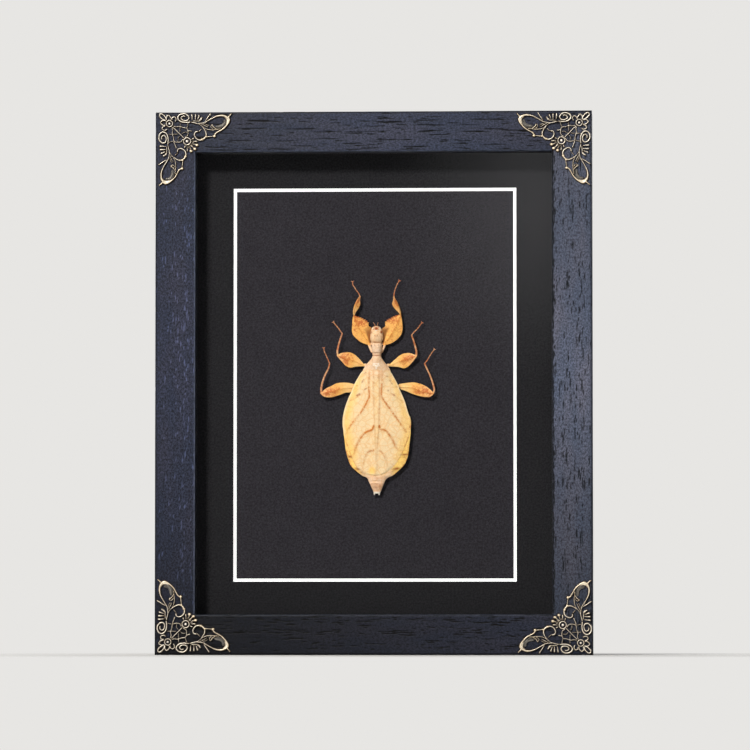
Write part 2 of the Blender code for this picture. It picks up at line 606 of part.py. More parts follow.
def corner_plates(brass, pin_metal, home):
    """The four filigree plates and the two domed pins that hold each of them."""
    outline = [PLATE_START, *PLATE_ARM, PLATE_END, *reversed(swapped(PLATE_ARM))]
    openings = [*PLATE_OPENINGS, *[swapped(points) for points in PLATE_OPENINGS], LEAF_OPENING]
    openings += [ring_outline(middle, radius) for middle, radius in zip(PIN_PLACES, PIN_HOLE_RADII)]
    half_width, half_height = FRAME_WIDTH / 2, FRAME_HEIGHT / 2
    corners = {
        "bottom_left": (-half_width, -half_height, 0),
        "top_left": (-half_width, half_height, 90),
        "top_right": (half_width, half_height, 180),
        "bottom_right": (half_width, -half_height, 270),
    }
    upright = Matrix.Rotation(math.radians(90), 4, "X")
    for corner, (x, z, turn) in corners.items():
        around = Matrix.Rotation(math.radians(turn), 4, "Y")
        right, up = PLATE_SHIFTS[corner]
        place = Matrix.Translation((x + right * MM, FRONT_Y - GAP, MIDDLE_Z + z + up * MM)) @ around
        laid = place @ Matrix.Translation((0, -PLATE_THICKNESS / 2, 0)) @ upright
        flat_shape(f"corner_{corner}", [outline, *openings], PLATE_THICKNESS, laid, brass, home)
        for part, (u, v), radius in zip(("outer", "inner"), PIN_PLACES, PIN_HEAD_RADII):
            point = place @ Vector((u * MM, 0, v * MM))
            dome(f"pin_{corner}_{part}", point, radius * MM, PIN_HEIGHT, -1, pin_metal, home)


def body_section(z):
    """Left and right half width, rim, back and belly heights, and rim sharpness at a place on the axis."""
    table = np.array(BODY_SECTIONS, float)[::-1]
    return [float(np.interp(z, table[:, 0], table[:, k])) for k in range(1, 7)]


def body_ring(z):
    """One section of the body: from the right rim over the back to the left rim and under the belly."""
    left, right, rim, back, belly, sharpness = body_section(z)
    over, under = [], []
    for k in range(1, BODY_SIDES // 2):
        angle = 2 * math.pi * k / BODY_SIDES
        across = math.cos(angle) * (right if math.cos(angle) > 0 else left)
        rise = math.sin(angle) ** sharpness
        over.append(on_card(across, z, rim + (back - rim) * rise))
        under.append(on_card(across, z, rim - (rim - belly) * rise))
    right_rim = [on_card(right, z, rim + lift) for lift in (-RIM_HALF, RIM_HALF)]
    left_rim = [on_card(-left, z, rim + lift) for lift in (RIM_HALF, -RIM_HALF)]
    return [*right_rim, *over, *left_rim, *reversed(under)]


def insect_body(finish, home):
    """Head, thorax and abdomen, grown as one piece, with the two short feelers of the tail."""
    table = np.array(BODY_SECTIONS, float)
    along = np.cumsum(np.concatenate([[0.0], 0.6 + np.abs(np.diff(table[:, 0]))]))
    places = np.interp(np.linspace(0, along[-1], BODY_STATIONS), along, table[:, 0])
    trunk = object_of("trunk", loft("trunk", [body_ring(z) for z in places]), None, home)
    tips = []
    for side, path in TAIL_TIPS.items():
        tips.append(tube(f"tail_tip_{side}", path, TAIL_TIP_HEIGHTS, TAIL_TIP_RADII, 3, home))
    made = joined("insect_body", [trunk, *tips], finish, home)
    smooth_by_angle(made, SMOOTH_ANGLE)


def wing(name, edge, side, finish, home):
    """A forewing: a thin shell that follows the back of the abdomen, from the midline to its outer edge."""
    outline = curve_through(edge, 200)[::-1]
    bm = bmesh.new()
    bmesh.ops.create_grid(bm, x_segments=WING_COLUMNS, y_segments=WING_ROWS, size=0.5)
    for vert in bm.verts:
        across, along = vert.co.x + 0.5, vert.co.y + 0.5
        z = WING_TIP + (WING_TOP - WING_TIP) * along
        reach = abs(float(np.interp(z, outline[:, 1], outline[:, 0])))
        left, right, rim, back, _, _ = body_section(z)
        widest = max(reach, left if side < 0 else right) + WING_OVERHANG
        x = WING_GAP_AT_AXIS + (reach - WING_GAP_AT_AXIS) * across
        height = rim + (back - rim) * (1 - (x / widest) ** 2) + WING_CLEARANCE + WING_THICKNESS / 2
        vert.co = on_card(side * x, z, height)
    made = object_of(name, mesh_of(name, bm), finish, home)
    shell = made.modifiers.new("thickness", "SOLIDIFY")
    shell.thickness = WING_THICKNESS * MM
    shell.offset = 0.0
    shell.use_even_offset = True
    smooth_by_angle(made, SMOOTH_ANGLE)


def tube(name, path, heights, radii, stations, home):
    """A tapering round segment of a leg, a feeler or the tail."""
    flat = curve_through(path, stations)
    curve = bpy.data.curves.new(name, "CURVE")
    curve.dimensions = "3D"
    curve.bevel_depth = MM
    curve.bevel_resolution = 1
    curve.use_fill_caps = True
    spline = curve.splines.new("POLY")
    spline.points.add(stations - 1)
    for k, point in enumerate(spline.points):
        share = k / (stations - 1)
        height = heights[0] + (heights[-1] - heights[0]) * share
        point.co = (*on_card(*flat[k], height), 1.0)
        point.radius = radii[0] + (radii[-1] - radii[0]) * share
    guide = bpy.data.objects.new(name + "_path", curve)
    home.objects.link(guide)
    made = object_of(name, evaluated_mesh(guide, name), None, home)
    bpy.data.objects.remove(guide)
    return made


def blade(name, shape, home):
    """A leafy segment of a leg: thick along its rib, thin at both edges. Its inner edge may be toothed."""
    outer = curve_through(shape["outer"], BLADE_STATIONS)
    rib = curve_through(shape["rib"], BLADE_STATIONS)
    inner = curve_through(shape["inner"], BLADE_STATIONS)
    rings = []
    for k in range(BLADE_STATIONS):
        share = k / (BLADE_STATIONS - 1)
        height = float(np.interp(share, (0.0, 0.5, 1.0), shape["heights"]))
        rim = inner[k]
        if shape["toothed"] and TOOTHED_SHARE[0] < share < TOOTHED_SHARE[1]:
            outward = inner[k] - rib[k]
            outward = outward / np.linalg.norm(outward)
            rim = inner[k] + outward * TOOTH_HEIGHT * ((k % 2) - 0.5)
        rib_half, edge_half = BLADE_RIB_THICKNESS / 2, BLADE_EDGE_THICKNESS / 2
        rings.append([
            on_card(*outer[k], height + edge_half),
            on_card(*rib[k], height + rib_half),
            on_card(*rim, height + edge_half),
            on_card(*rim, height - edge_half),
            on_card(*rib[k], height - rib_half),
            on_card(*outer[k], height - edge_half),
        ])
    return object_of(name, loft(name, rings), None, home)


def foot(name, place, home):
    """The small pad and claws at the end of a leg, as one rounded lump."""
    bm = bmesh.new()
    bmesh.ops.create_icosphere(bm, subdivisions=1, radius=FOOT_RADIUS * MM)
    bmesh.ops.translate(bm, vec=Vector(on_card(*place, TARSUS_HEIGHTS[-1])), verts=bm.verts)
    return object_of(name, mesh_of(name, bm), None, home)


def legs(finish, home):
    for name, shape in LEGS.items():
        pieces = [blade(f"{name}_blade_{k}", part, home) for k, part in enumerate(shape["blades"])]
        if "tibia" in shape:
            path = shape["tibia"]
            pieces.append(tube(f"{name}_tibia", path, TIBIA_HEIGHTS, TIBIA_RADII, TUBE_STATIONS, home))
        path = shape["tarsus"]
        pieces.append(tube(f"{name}_tarsus", path, TARSUS_HEIGHTS, TARSUS_RADII, TUBE_STATIONS, home))
        pieces.append(foot(f"{name}_foot", shape["tarsus"][-1], home))
        smooth_by_angle(joined(name, pieces, finish, home), SMOOTH_ANGLE)


def antennae(finish, home):
    for name, path in ANTENNAE.items():
        made = tube(name + "_tube", path, ANTENNA_HEIGHTS, ANTENNA_RADII, ANTENNA_STATIONS, home)
        made.name = name
        made.data.materials.append(finish)


def build():
    clear_scene()
    home = collection("framed_leaf_insect")
    cutters = collection("cutters")
    wood = material("stained_wood", (0.030, 0.031, 0.042), 0.45)
    glass = material("glass", (0.9, 0.95, 0.93), 0.05, alpha=0.12)
    spacer = material("spacer_board", (0.012, 0.012, 0.013), 0.9)
    mat_paper = material("mat_paper", (0.018, 0.018, 0.019), 0.9)
    mat_core = material("mat_core", (0.93, 0.93, 0.91), 0.8)
    card = material("mount_card", (0.026, 0.024, 0.029), 0.9)
    panel = material("fibreboard", (0.20, 0.125, 0.07), 0.8)
    steel = material("zinc_steel", (0.45, 0.45, 0.46), 0.4, metallic=1.0)
    brass = material("antique_brass", (0.50, 0.38, 0.21), 0.35, metallic=1.0)
    pin_metal = material("pin_brass", (0.62, 0.50, 0.36), 0.3, metallic=1.0)
    body = material("insect_body", (0.82, 0.58, 0.33), 0.6)
    wings = material("insect_wing", (0.90, 0.66, 0.36), 0.6)
    limbs = material("insect_limb", (0.78, 0.40, 0.14), 0.6)

    frame_pieces(wood, home)
    sheet_in_rebate("glass_pane", GLASS_Y, GLASS_THICKNESS, glass, home)
    spacers(spacer, home)
    window_mat(mat_paper, mat_core, home, cutters)
    sheet_in_rebate("mount_card", CARD_Y, CARD_THICKNESS, card, home)
    sheet_in_rebate("back_panel", PANEL_Y, PANEL_THICKNESS, panel, home)
    back_tabs(steel, home)
    hanger(steel, home)
    corner_plates(brass, pin_metal, home)
    insect_body(body, home)
    wing("forewing_left", LEFT_WING_EDGE, -1, wings, home)
    wing("forewing_right", RIGHT_WING_EDGE, 1, wings, home)
    legs(limbs, home)
    antennae(limbs, home)


build()
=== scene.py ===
"""The looks of a leaf insect mounted in a glazed box frame that has a filigree plate on each corner.

Metres, +Z up. The front of the frame faces -Y and +X is to the right as it is looked at. Lists of points are
in millimetres: a plate's points are measured from its corner of the frame, the insect's from its own place on
the card.
"""

import math

import bpy
import numpy as np
from mathutils import Matrix, Vector


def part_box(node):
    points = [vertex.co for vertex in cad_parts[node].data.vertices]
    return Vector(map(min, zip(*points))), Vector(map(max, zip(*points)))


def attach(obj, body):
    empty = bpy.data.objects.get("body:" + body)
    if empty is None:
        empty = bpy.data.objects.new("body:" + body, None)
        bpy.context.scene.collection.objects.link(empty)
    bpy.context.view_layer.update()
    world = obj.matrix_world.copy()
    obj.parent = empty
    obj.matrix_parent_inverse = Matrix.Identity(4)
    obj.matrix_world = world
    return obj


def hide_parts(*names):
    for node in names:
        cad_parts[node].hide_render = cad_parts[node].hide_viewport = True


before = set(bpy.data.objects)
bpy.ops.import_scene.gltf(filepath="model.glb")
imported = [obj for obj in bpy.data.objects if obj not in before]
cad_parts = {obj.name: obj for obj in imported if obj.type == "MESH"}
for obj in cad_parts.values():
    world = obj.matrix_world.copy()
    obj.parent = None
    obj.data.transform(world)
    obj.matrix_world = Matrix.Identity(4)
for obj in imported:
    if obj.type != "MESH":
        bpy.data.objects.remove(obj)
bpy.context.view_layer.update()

MM = 0.001
GAP = 0.3 * MM

# The frame as the solids have it
LEFT_X, RIGHT_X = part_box("stile_left")[0].x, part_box("stile_right")[1].x
FOOT_Z, TOP_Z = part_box("rail_bottom")[0].z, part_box("rail_top")[1].z
FRONT_Y, BACK_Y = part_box("rail_bottom")[0].y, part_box("rail_bottom")[1].y
FACE_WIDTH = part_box("rail_bottom")[1].z - FOOT_Z
LIP_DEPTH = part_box("glass_pane")[0].y - GAP - FRONT_Y
REBATE_WIDTH = FACE_WIDTH - (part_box("glass_pane")[0].x - GAP - LEFT_X)
CARD_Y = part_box("mount_card")[0].y
MIDDLE_Z = (FOOT_Z + TOP_Z) / 2
FRAME_WIDTH, FRAME_HEIGHT = RIGHT_X - LEFT_X, TOP_Z - FOOT_Z

# The camera of the photograph: where it stands and the point of the frame's front that it looks at
CAMERA_DISTANCE = 2.4
CAMERA_X, CAMERA_Z = 117.5 * MM, 11.2 * MM
AIM_X, AIM_Z = 0.8 * MM, 130.2 * MM
LENS, SENSOR = 247.9, 36.0

# The moulding's section and its grain
ARRIS = 0.9 * MM
BACK_ARRIS = 0.5 * MM
MITRE_GAP = 0.04 * MM
STATION = 0.9 * MM
GRAIN_DEPTH = 0.16 * MM
SWELL_HEIGHT, SWELLS = 0.03 * MM, 7
GRAIN_BANDS, BAND_SLOPE = (4.5, 7.0), 0.012
PORE_HALF_WIDTHS, PORE_SLOPE = (0.17, 0.32), 0.018
GNAWED_LENGTH = 2.2 * MM
SQUARE_CM = 1e-4

# Each moulding: its turn from the foot, its stain, and
# - its pores: how many are tried to a square centimetre (crowd), how far they keep to the inner edge (lean),
#   how long they are, the share that lies on that edge (gnawed), how light they look, lighter than the wood
#   being painted glints, and how much of the shallow ones stays the colour of the wood (clear)
# - its tone, partly the stain's own and partly painted light, its painted light and shade from end to end,
#   how strong the painted highlight along its inner arris is, how strong the fine wriggles are, and the
#   specks: how strong, and between which levels of the noise they rise
PIECES_OF_WOOD = {
    "rail_bottom": dict(
        piece="foot_rail", turn=0, seed=5, crowd=15.0, lean=0.5, length=(1.8, 10.0), tone=0.42, pore=0.02,
        worn=0.2, stain=(39, 44, 60), light=(0.2, 0.4, 0.8, 1.2, 1.6), worms=0.3, speckle=(1.5, 0.36, 0.64),
        clear=0.3, gnawed=0.0),
    "stile_left": dict(
        piece="left_stile", turn=90, seed=8, crowd=13.0, lean=0.8, length=(0.6, 4.0), tone=0.78, pore=6.5,
        worn=1.2, stain=(37, 43, 62), light=(0.2, 0.62, 0.76, 0.7, 0.56), worms=1.0,
        speckle=(1.7, 0.42, 0.6), clear=0.6, gnawed=0.0),
    "rail_top": dict(
        piece="head_rail", turn=180, seed=3, crowd=7.0, lean=0.0, length=(3.0, 18.0), tone=1.02, pore=0.02,
        worn=0.5, stain=(38, 44, 61), light=(0.54, 0.66, 0.98, 0.92, 0.68), worms=0.4,
        speckle=(1.3, 0.36, 0.64), clear=0.4, gnawed=0.0),
    "stile_right": dict(
        piece="right_stile", turn=270, seed=13, crowd=17.0, lean=0.0, length=(0.9, 7.0), tone=2.3, pore=0.06,
        worn=0.0, stain=(43, 48, 60), light=(0.38, 0.74, 1.22, 0.92, 0.82), worms=0.3,
        speckle=(1.15, 0.35, 0.65), clear=0.35, gnawed=0.3),
}

# The filigree. Each stroke has its width or widths, the height of its crest and its path. The strokes of the
# upright arm are drawn again, with the two coordinates swapped, for the arm along the foot, which keeps a
# little further from the frame's edge
PLATE_BASE = -0.28
STROKE_STATION = 0.24
SPREAD, DEPTH_STEP = 1.1, 0.004
ARM_STROKES = [
    ((0.8, 1.0, 1.0, 0.9, 0.75), 0.9, [(15.9, 5.1), (13.4, 5.3), (11.6, 5.0), (10.2, 4.0), (9.8, 2.8),
        (10.5, 1.6), (11.9, 1.0), (13.4, 1.1), (14.6, 2.0), (15.0, 3.1), (14.6, 4.0), (13.4, 4.4),
        (12.1, 4.1), (11.4, 3.4), (11.7, 2.5), (12.9, 2.2), (13.4, 2.6)]),
    ((0.8, 0.7, 0.7, 0.8, 1.2, 1.5, 1.1, 0.9, 1.0), 0.95, [(15.9, 5.1), (17.4, 5.5), (19.2, 5.9),
        (20.7, 5.8), (22.5, 5.4), (24.0, 4.5), (25.8, 3.4), (27.6, 2.5), (29.6, 2.0), (31.4, 2.1),
        (33.0, 2.9), (33.9, 4.0), (33.5, 5.5), (32.5, 7.0), (30.9, 8.6), (28.8, 9.8), (27.5, 10.6),
        (26.9, 11.6)]),
    (0.6, 0.75, [(26.7, 11.8), (25.0, 12.0), (23.1, 12.2)]),
    ((0.6, 0.8, 0.8), 0.9, [(22.7, 5.0), (23.5, 3.5), (24.5, 2.0), (25.3, 0.7)]),
    ((1.3, 0.8, 0.7), 0.95, [(33.3, 3.0), (34.2, 2.0), (35.1, 0.9)]),
    (0.6, 0.75, [(16.6, 4.7), (18.6, 4.6), (20.2, 4.5), (21.2, 3.4)]),
    ((1.35, 0.8, 0.5), 0.9, [(16.4, 1.1), (16.5, 2.6), (16.7, 4.4)]),
    ((1.3, 0.8, 0.5), 0.9, [(18.1, 1.2), (18.1, 2.6), (18.1, 4.4)]),
    ((1.25, 0.8, 0.5), 0.9, [(19.9, 1.5), (19.5, 2.8), (19.0, 4.2)]),
    ((1.15, 0.8, 0.5), 0.9, [(21.3, 2.7), (20.6, 3.7), (19.5, 4.4)]),
    ((0.5, 0.6, 0.75, 0.95, 1.15, 1.0, 0.9, 0.8, 0.9), 0.9, [(19.2, 5.9), (21.0, 7.0), (22.2, 8.6),
        (23.0, 10.1), (23.1, 11.6), (22.2, 12.9), (20.7, 13.6), (19.2, 13.4), (17.9, 12.1), (17.6, 10.8),
        (18.2, 9.8), (19.5, 9.7)]),
    ((0.45, 0.6, 0.45), 0.7, [(20.7, 6.0), (22.5, 6.9), (24.2, 7.7)]),
    ((0.4, 0.5, 0.4), 0.62, [(21.9, 6.0), (23.3, 6.4), (24.6, 7.1)]),
    ((0.5, 0.6, 0.55), 0.7, [(21.5, 7.6), (23.5, 8.6), (26.0, 8.9), (28.1, 8.7), (30.0, 8.6)]),
    (0.5, 0.55, [(19.5, 9.8), (21.0, 8.4)]),
    ((0.6, 0.8, 0.5), 0.75, [(25.8, 6.2), (26.6, 7.6), (28.1, 8.6)]),
    ((0.5, 0.6, 0.5), 0.65, [(25.8, 6.2), (25.3, 7.6), (26.6, 8.6)]),
    ((0.4, 1.3, 1.5, 1.3, 0.4), 0.2, [(27.6, 7.2), (29.2, 7.2), (30.8, 6.8), (31.7, 5.8), (31.6, 4.1)]),
    (0.36, 0.5, [(27.4, 7.3), (29.0, 8.0), (30.8, 7.6), (32.1, 6.5), (32.5, 5.2), (31.5, 3.9)]),
    (0.26, 0.46, [(27.9, 6.9), (29.3, 6.8), (30.5, 6.3), (31.2, 5.3), (31.3, 4.2)]),
    (0.26, 0.46, [(28.2, 7.6), (29.9, 7.4), (31.2, 6.7), (31.9, 5.6), (31.9, 4.4)]),
    (0.3, 0.36, [(28.3, 7.6), (28.9, 6.5)]),
    (0.3, 0.36, [(29.2, 7.8), (29.8, 6.4)]),
    (0.3, 0.36, [(30.2, 7.6), (30.5, 6.1)]),
    (0.3, 0.36, [(31.1, 7.2), (31.0, 5.8)]),
    (0.3, 0.36, [(31.9, 6.5), (31.1, 5.3)]),
    (0.3, 0.36, [(32.3, 5.4), (31.2, 4.6)]),
    ((0.8, 1.5, 1.7, 1.3, 0.7), 0.72, [(31.4, 2.5), (32.7, 3.1), (33.2, 4.2), (33.0, 5.5), (32.3, 6.8)]),
    (0.85, 0.9, [(4.6, 4.3), (4.5, 2.7), (5.4, 1.7), (6.3, 2.5), (6.7, 3.1), (6.5, 4.2)]),
    (0.8, 0.85, [(7.0, 4.2), (7.3, 2.9), (8.3, 2.5), (8.9, 3.1), (8.9, 4.3), (8.4, 5.0)]),
    (0.65, 0.75, [(7.6, 7.0), (8.6, 7.4), (10.6, 7.2), (12.4, 7.8), (14.1, 8.1), (14.6, 9.6), (14.4, 11.4),
        (13.0, 12.4)]),
    (0.55, 0.72, [(10.9, 5.5), (10.9, 7.3), (10.8, 9.9)]),
    (0.5, 0.68, [(11.6, 10.9), (12.4, 10.1), (14.3, 10.0)]),
    (0.55, 0.72, [(14.7, 5.5), (14.1, 7.9)]),
    ((0.5, 0.7, 0.95, 0.8), 0.8, [(16.1, 13.4), (16.9, 13.1), (17.5, 12.9)]),
    ((0.5, 0.6, 1.0, 0.85), 0.85, [(16.3, 14.2), (17.7, 14.3), (19.1, 14.3)]),
    ((0.5, 0.7), 0.75, [(16.3, 14.7), (17.5, 15.0)]),
    ((0.5, 0.75), 0.8, [(16.1, 15.1), (17.3, 15.6), (18.4, 16.0)]),
    ((0.5, 0.7), 0.75, [(15.8, 15.5), (16.9, 16.4)]),
]
MIDDLE_STROKES = [
    (0.9, 0.92, [(4.5, 4.5), (4.1, 3.1), (3.2, 1.9), (2.1, 1.25), (1.45, 1.45), (1.25, 2.1), (1.9, 3.2),
        (3.1, 4.1), (4.5, 4.6)]),
    (0.6, 0.7, [(7.4, 7.4), (10.0, 10.0), (12.8, 12.8)]),
    ((0.5, 0.75), 0.8, [(15.7, 15.8), (16.7, 16.8), (17.6, 17.6)]),
]
UPRIGHT_STROKE = (0.6, 0.72, [(7.9, 14.2), (8.5, 15.8), (9.2, 17.7)])
FOOT_STROKE = ((0.5, 0.6, 0.8), 0.72, [(14.4, 9.0), (15.4, 9.3), (16.4, 9.5)])
FOOT_LIFT, LIFT_REACH = 0.35, 6.0
LEAF = [(28.4, 7.3), (29.6, 7.1), (30.7, 6.7), (31.5, 5.8), (31.6, 4.8)]
PLATE_RINGS = [((5.9, 5.9), 1.48, 0.85, 0.88), ((14.2, 14.2), 1.66, 0.9, 0.88)]
# Round knobs: place, radius and height. The first ones are repeated on the other arm
ARM_KNOBS = [
    ((27.0, 11.8), 0.8, 0.95), ((21.3, 13.4), 0.75, 0.9), ((23.2, 12.1), 0.6, 0.85),
    ((18.8, 16.0), 0.85, 0.9),
]
MIDDLE_KNOBS = [((17.8, 17.8), 0.85, 0.9)]
PIN_HEADS = [((5.9, 5.9), 0.62), ((14.2, 14.2), 0.72)]
PIN_HEIGHT = 1.15

# The side of the frame that each plate is on, how far it was nailed from its own place to the right and
# upwards, and how bright it is: painted light and shade, darker where the lamps light a plate more
PLATES = {
    "bottom_left": dict(corner=(-1, -1), shift=(0.4, 0.1), polish=1.0),
    "top_left": dict(corner=(-1, 1), shift=(0.7, 0.5), polish=0.84),
    "top_right": dict(corner=(1, 1), shift=(0.0, 0.1), polish=0.93),
    "bottom_right": dict(corner=(1, -1), shift=(0.22, -0.35), polish=1.04),
}

# The insect's own axes start at this point of the card. Its heights are measured off the card
INSECT_X = 0.8 * MM
INSECT_Z = 124.4 * MM

# Body sections from the head to the tail: place along the axis, left and right half width, then the heights
# of the rim, the back and the belly, and how thin the rim is (1 is an ellipse, 2 a lens)
BODY_SECTIONS = [
    (29.4, 0.8, 0.9, 3.6, 4.3, 2.8, 1.0),
    (28.6, 1.9, 2.0, 3.7, 5.0, 2.1, 1.0),
    (27.0, 2.6, 2.9, 3.8, 5.6, 1.5, 1.0),
    (25.0, 2.85, 3.1, 3.8, 6.0, 1.2, 1.0),
    (23.0, 2.8, 3.0, 3.7, 5.8, 1.2, 1.0),
    (21.7, 2.3, 2.4, 3.6, 5.1, 1.5, 1.0),
    (21.1, 2.1, 2.2, 3.5, 4.8, 1.6, 1.0),
    (20.4, 2.3, 2.6, 3.5, 5.3, 1.4, 1.0),
    (18.6, 2.2, 2.6, 3.4, 5.7, 1.1, 1.0),
    (16.7, 1.85, 2.4, 3.3, 5.4, 1.1, 1.0),
    (15.7, 1.75, 2.15, 3.2, 4.9, 1.2, 1.0),
    (14.6, 2.1, 2.5, 3.2, 5.5, 1.0, 1.0),
    (12.8, 3.5, 3.6, 3.1, 5.8, 0.7, 1.1),
    (11.2, 4.9, 5.0, 3.0, 5.9, 0.5, 1.4),
    (9.4, 6.0, 6.2, 3.0, 5.6, 0.4, 1.8),
    (7.0, 6.9, 7.0, 3.0, 5.0, 0.3, 2.0),
    (1.4, 9.9, 10.0, 3.0, 4.6, 0.3, 2.0),
    (-5.6, 13.0, 12.8, 3.0, 4.5, 0.3, 2.0),
    (-11.0, 14.8, 14.6, 3.0, 4.5, 0.3, 2.0),
    (-15.5, 15.4, 15.6, 3.0, 4.5, 0.3, 2.0),
    (-20.7, 15.4, 16.1, 3.0, 4.4, 0.3, 2.0),
    (-24.2, 14.9, 15.7, 2.9, 4.3, 0.3, 2.0),
    (-28.6, 14.4, 15.2, 2.8, 4.2, 0.3, 2.0),
    (-32.5, 13.4, 14.5, 2.7, 4.1, 0.3, 2.0),
    (-35.8, 12.1, 12.9, 2.6, 4.0, 0.3, 2.0),
    (-38.3, 9.7, 10.4, 2.5, 3.9, 0.4, 2.0),
    (-40.6, 6.8, 7.7, 2.4, 3.8, 0.5, 2.0),
    (-42.2, 4.1, 4.7, 2.3, 3.8, 0.6, 1.6),
    (-43.4, 3.6, 3.9, 2.3, 3.7, 0.8, 1.2),
    (-46.2, 2.3, 2.8, 2.2, 3.5, 1.0, 1.0),
    (-48.0, 1.5, 2.1, 2.2, 3.2, 1.2, 1.0),
    (-49.0, 1.2, 1.6, 2.2, 2.8, 1.5, 1.0),
]

# Small forms of the back: place, reach and height of each swelling, then place along the axis, half length
# and depth of each crease
BODY_BUMPS = [
    (-2.2, 26.6, 0.65, 0.45), (2.4, 26.6, 0.65, 0.45), (0.0, 28.6, 0.55, -0.4), (-1.1, 29.0, 0.45, 0.35),
    (1.1, 29.0, 0.45, 0.35), (-1.9, 28.1, 0.45, 0.3), (1.95, 28.1, 0.45, 0.3), (0.0, 27.5, 0.5, 0.25),
    (-0.8, 24.2, 1.2, 0.15), (0.8, 24.2, 1.2, 0.15), (-1.1, 19.6, 0.6, 0.2), (1.1, 19.6, 0.6, 0.2),
    (-0.9, 20.4, 0.3, -0.2), (0.9, 20.4, 0.3, -0.2), (0.0, 13.4, 1.0, 0.25), (-1.4, 11.6, 0.6, 0.2),
    (1.5, 11.6, 0.6, 0.2), (0.1, 10.2, 0.7, 0.2),
]
BODY_CREASES = [
    (21.7, 3.2, 0.7), (16.7, 2.6, 0.4), (15.5, 2.6, 0.4), (18.2, 1.8, 0.12), (-43.3, 4.5, 0.25),
    (-44.7, 3.0, 0.3), (-46.5, 3.0, 0.2),
]

RIM_THICKNESS = 0.11

# The feelers of the tail: where each starts and ends across the axis
TAIL_FEELERS = [(-0.85, -1.0), (1.05, 1.3)]

# The outer edge of each forewing, from the shoulder to the tip at the middle of the abdomen
LEFT_WING_EDGE = [
    (-4.9, 9.6), (-6.9, 7.9), (-8.5, 5.4), (-10.1, 2.6), (-11.8, -1.4), (-13.6, -5.6), (-15.0, -9.9),
    (-15.8, -14.1), (-15.8, -17.4), (-15.2, -20.9), (-14.3, -24.6), (-13.0, -28.6), (-11.2, -33.3),
    (-8.9, -37.2), (-5.6, -39.6), (-1.2, -40.6),
]
RIGHT_WING_EDGE = [
    (4.9, 9.6), (6.9, 7.6), (8.3, 5.2), (9.7, 2.6), (11.4, -1.4), (13.2, -5.6), (14.5, -9.9), (15.0, -11.6),
    (15.9, -13.6), (16.2, -16.6), (15.9, -19.8), (15.0, -23.4), (13.6, -27.0), (11.8, -31.0), (9.6, -34.4),
    (7.0, -37.4), (4.2, -39.4), (1.2, -40.6),
]
WING_TOP, WING_TIP = 9.2, -40.4
WING_CLEARANCE, SHOULDER_SINK, LAP_RISE = 0.14, 0.35, 0.30
VEIN_HEIGHT = 0.13

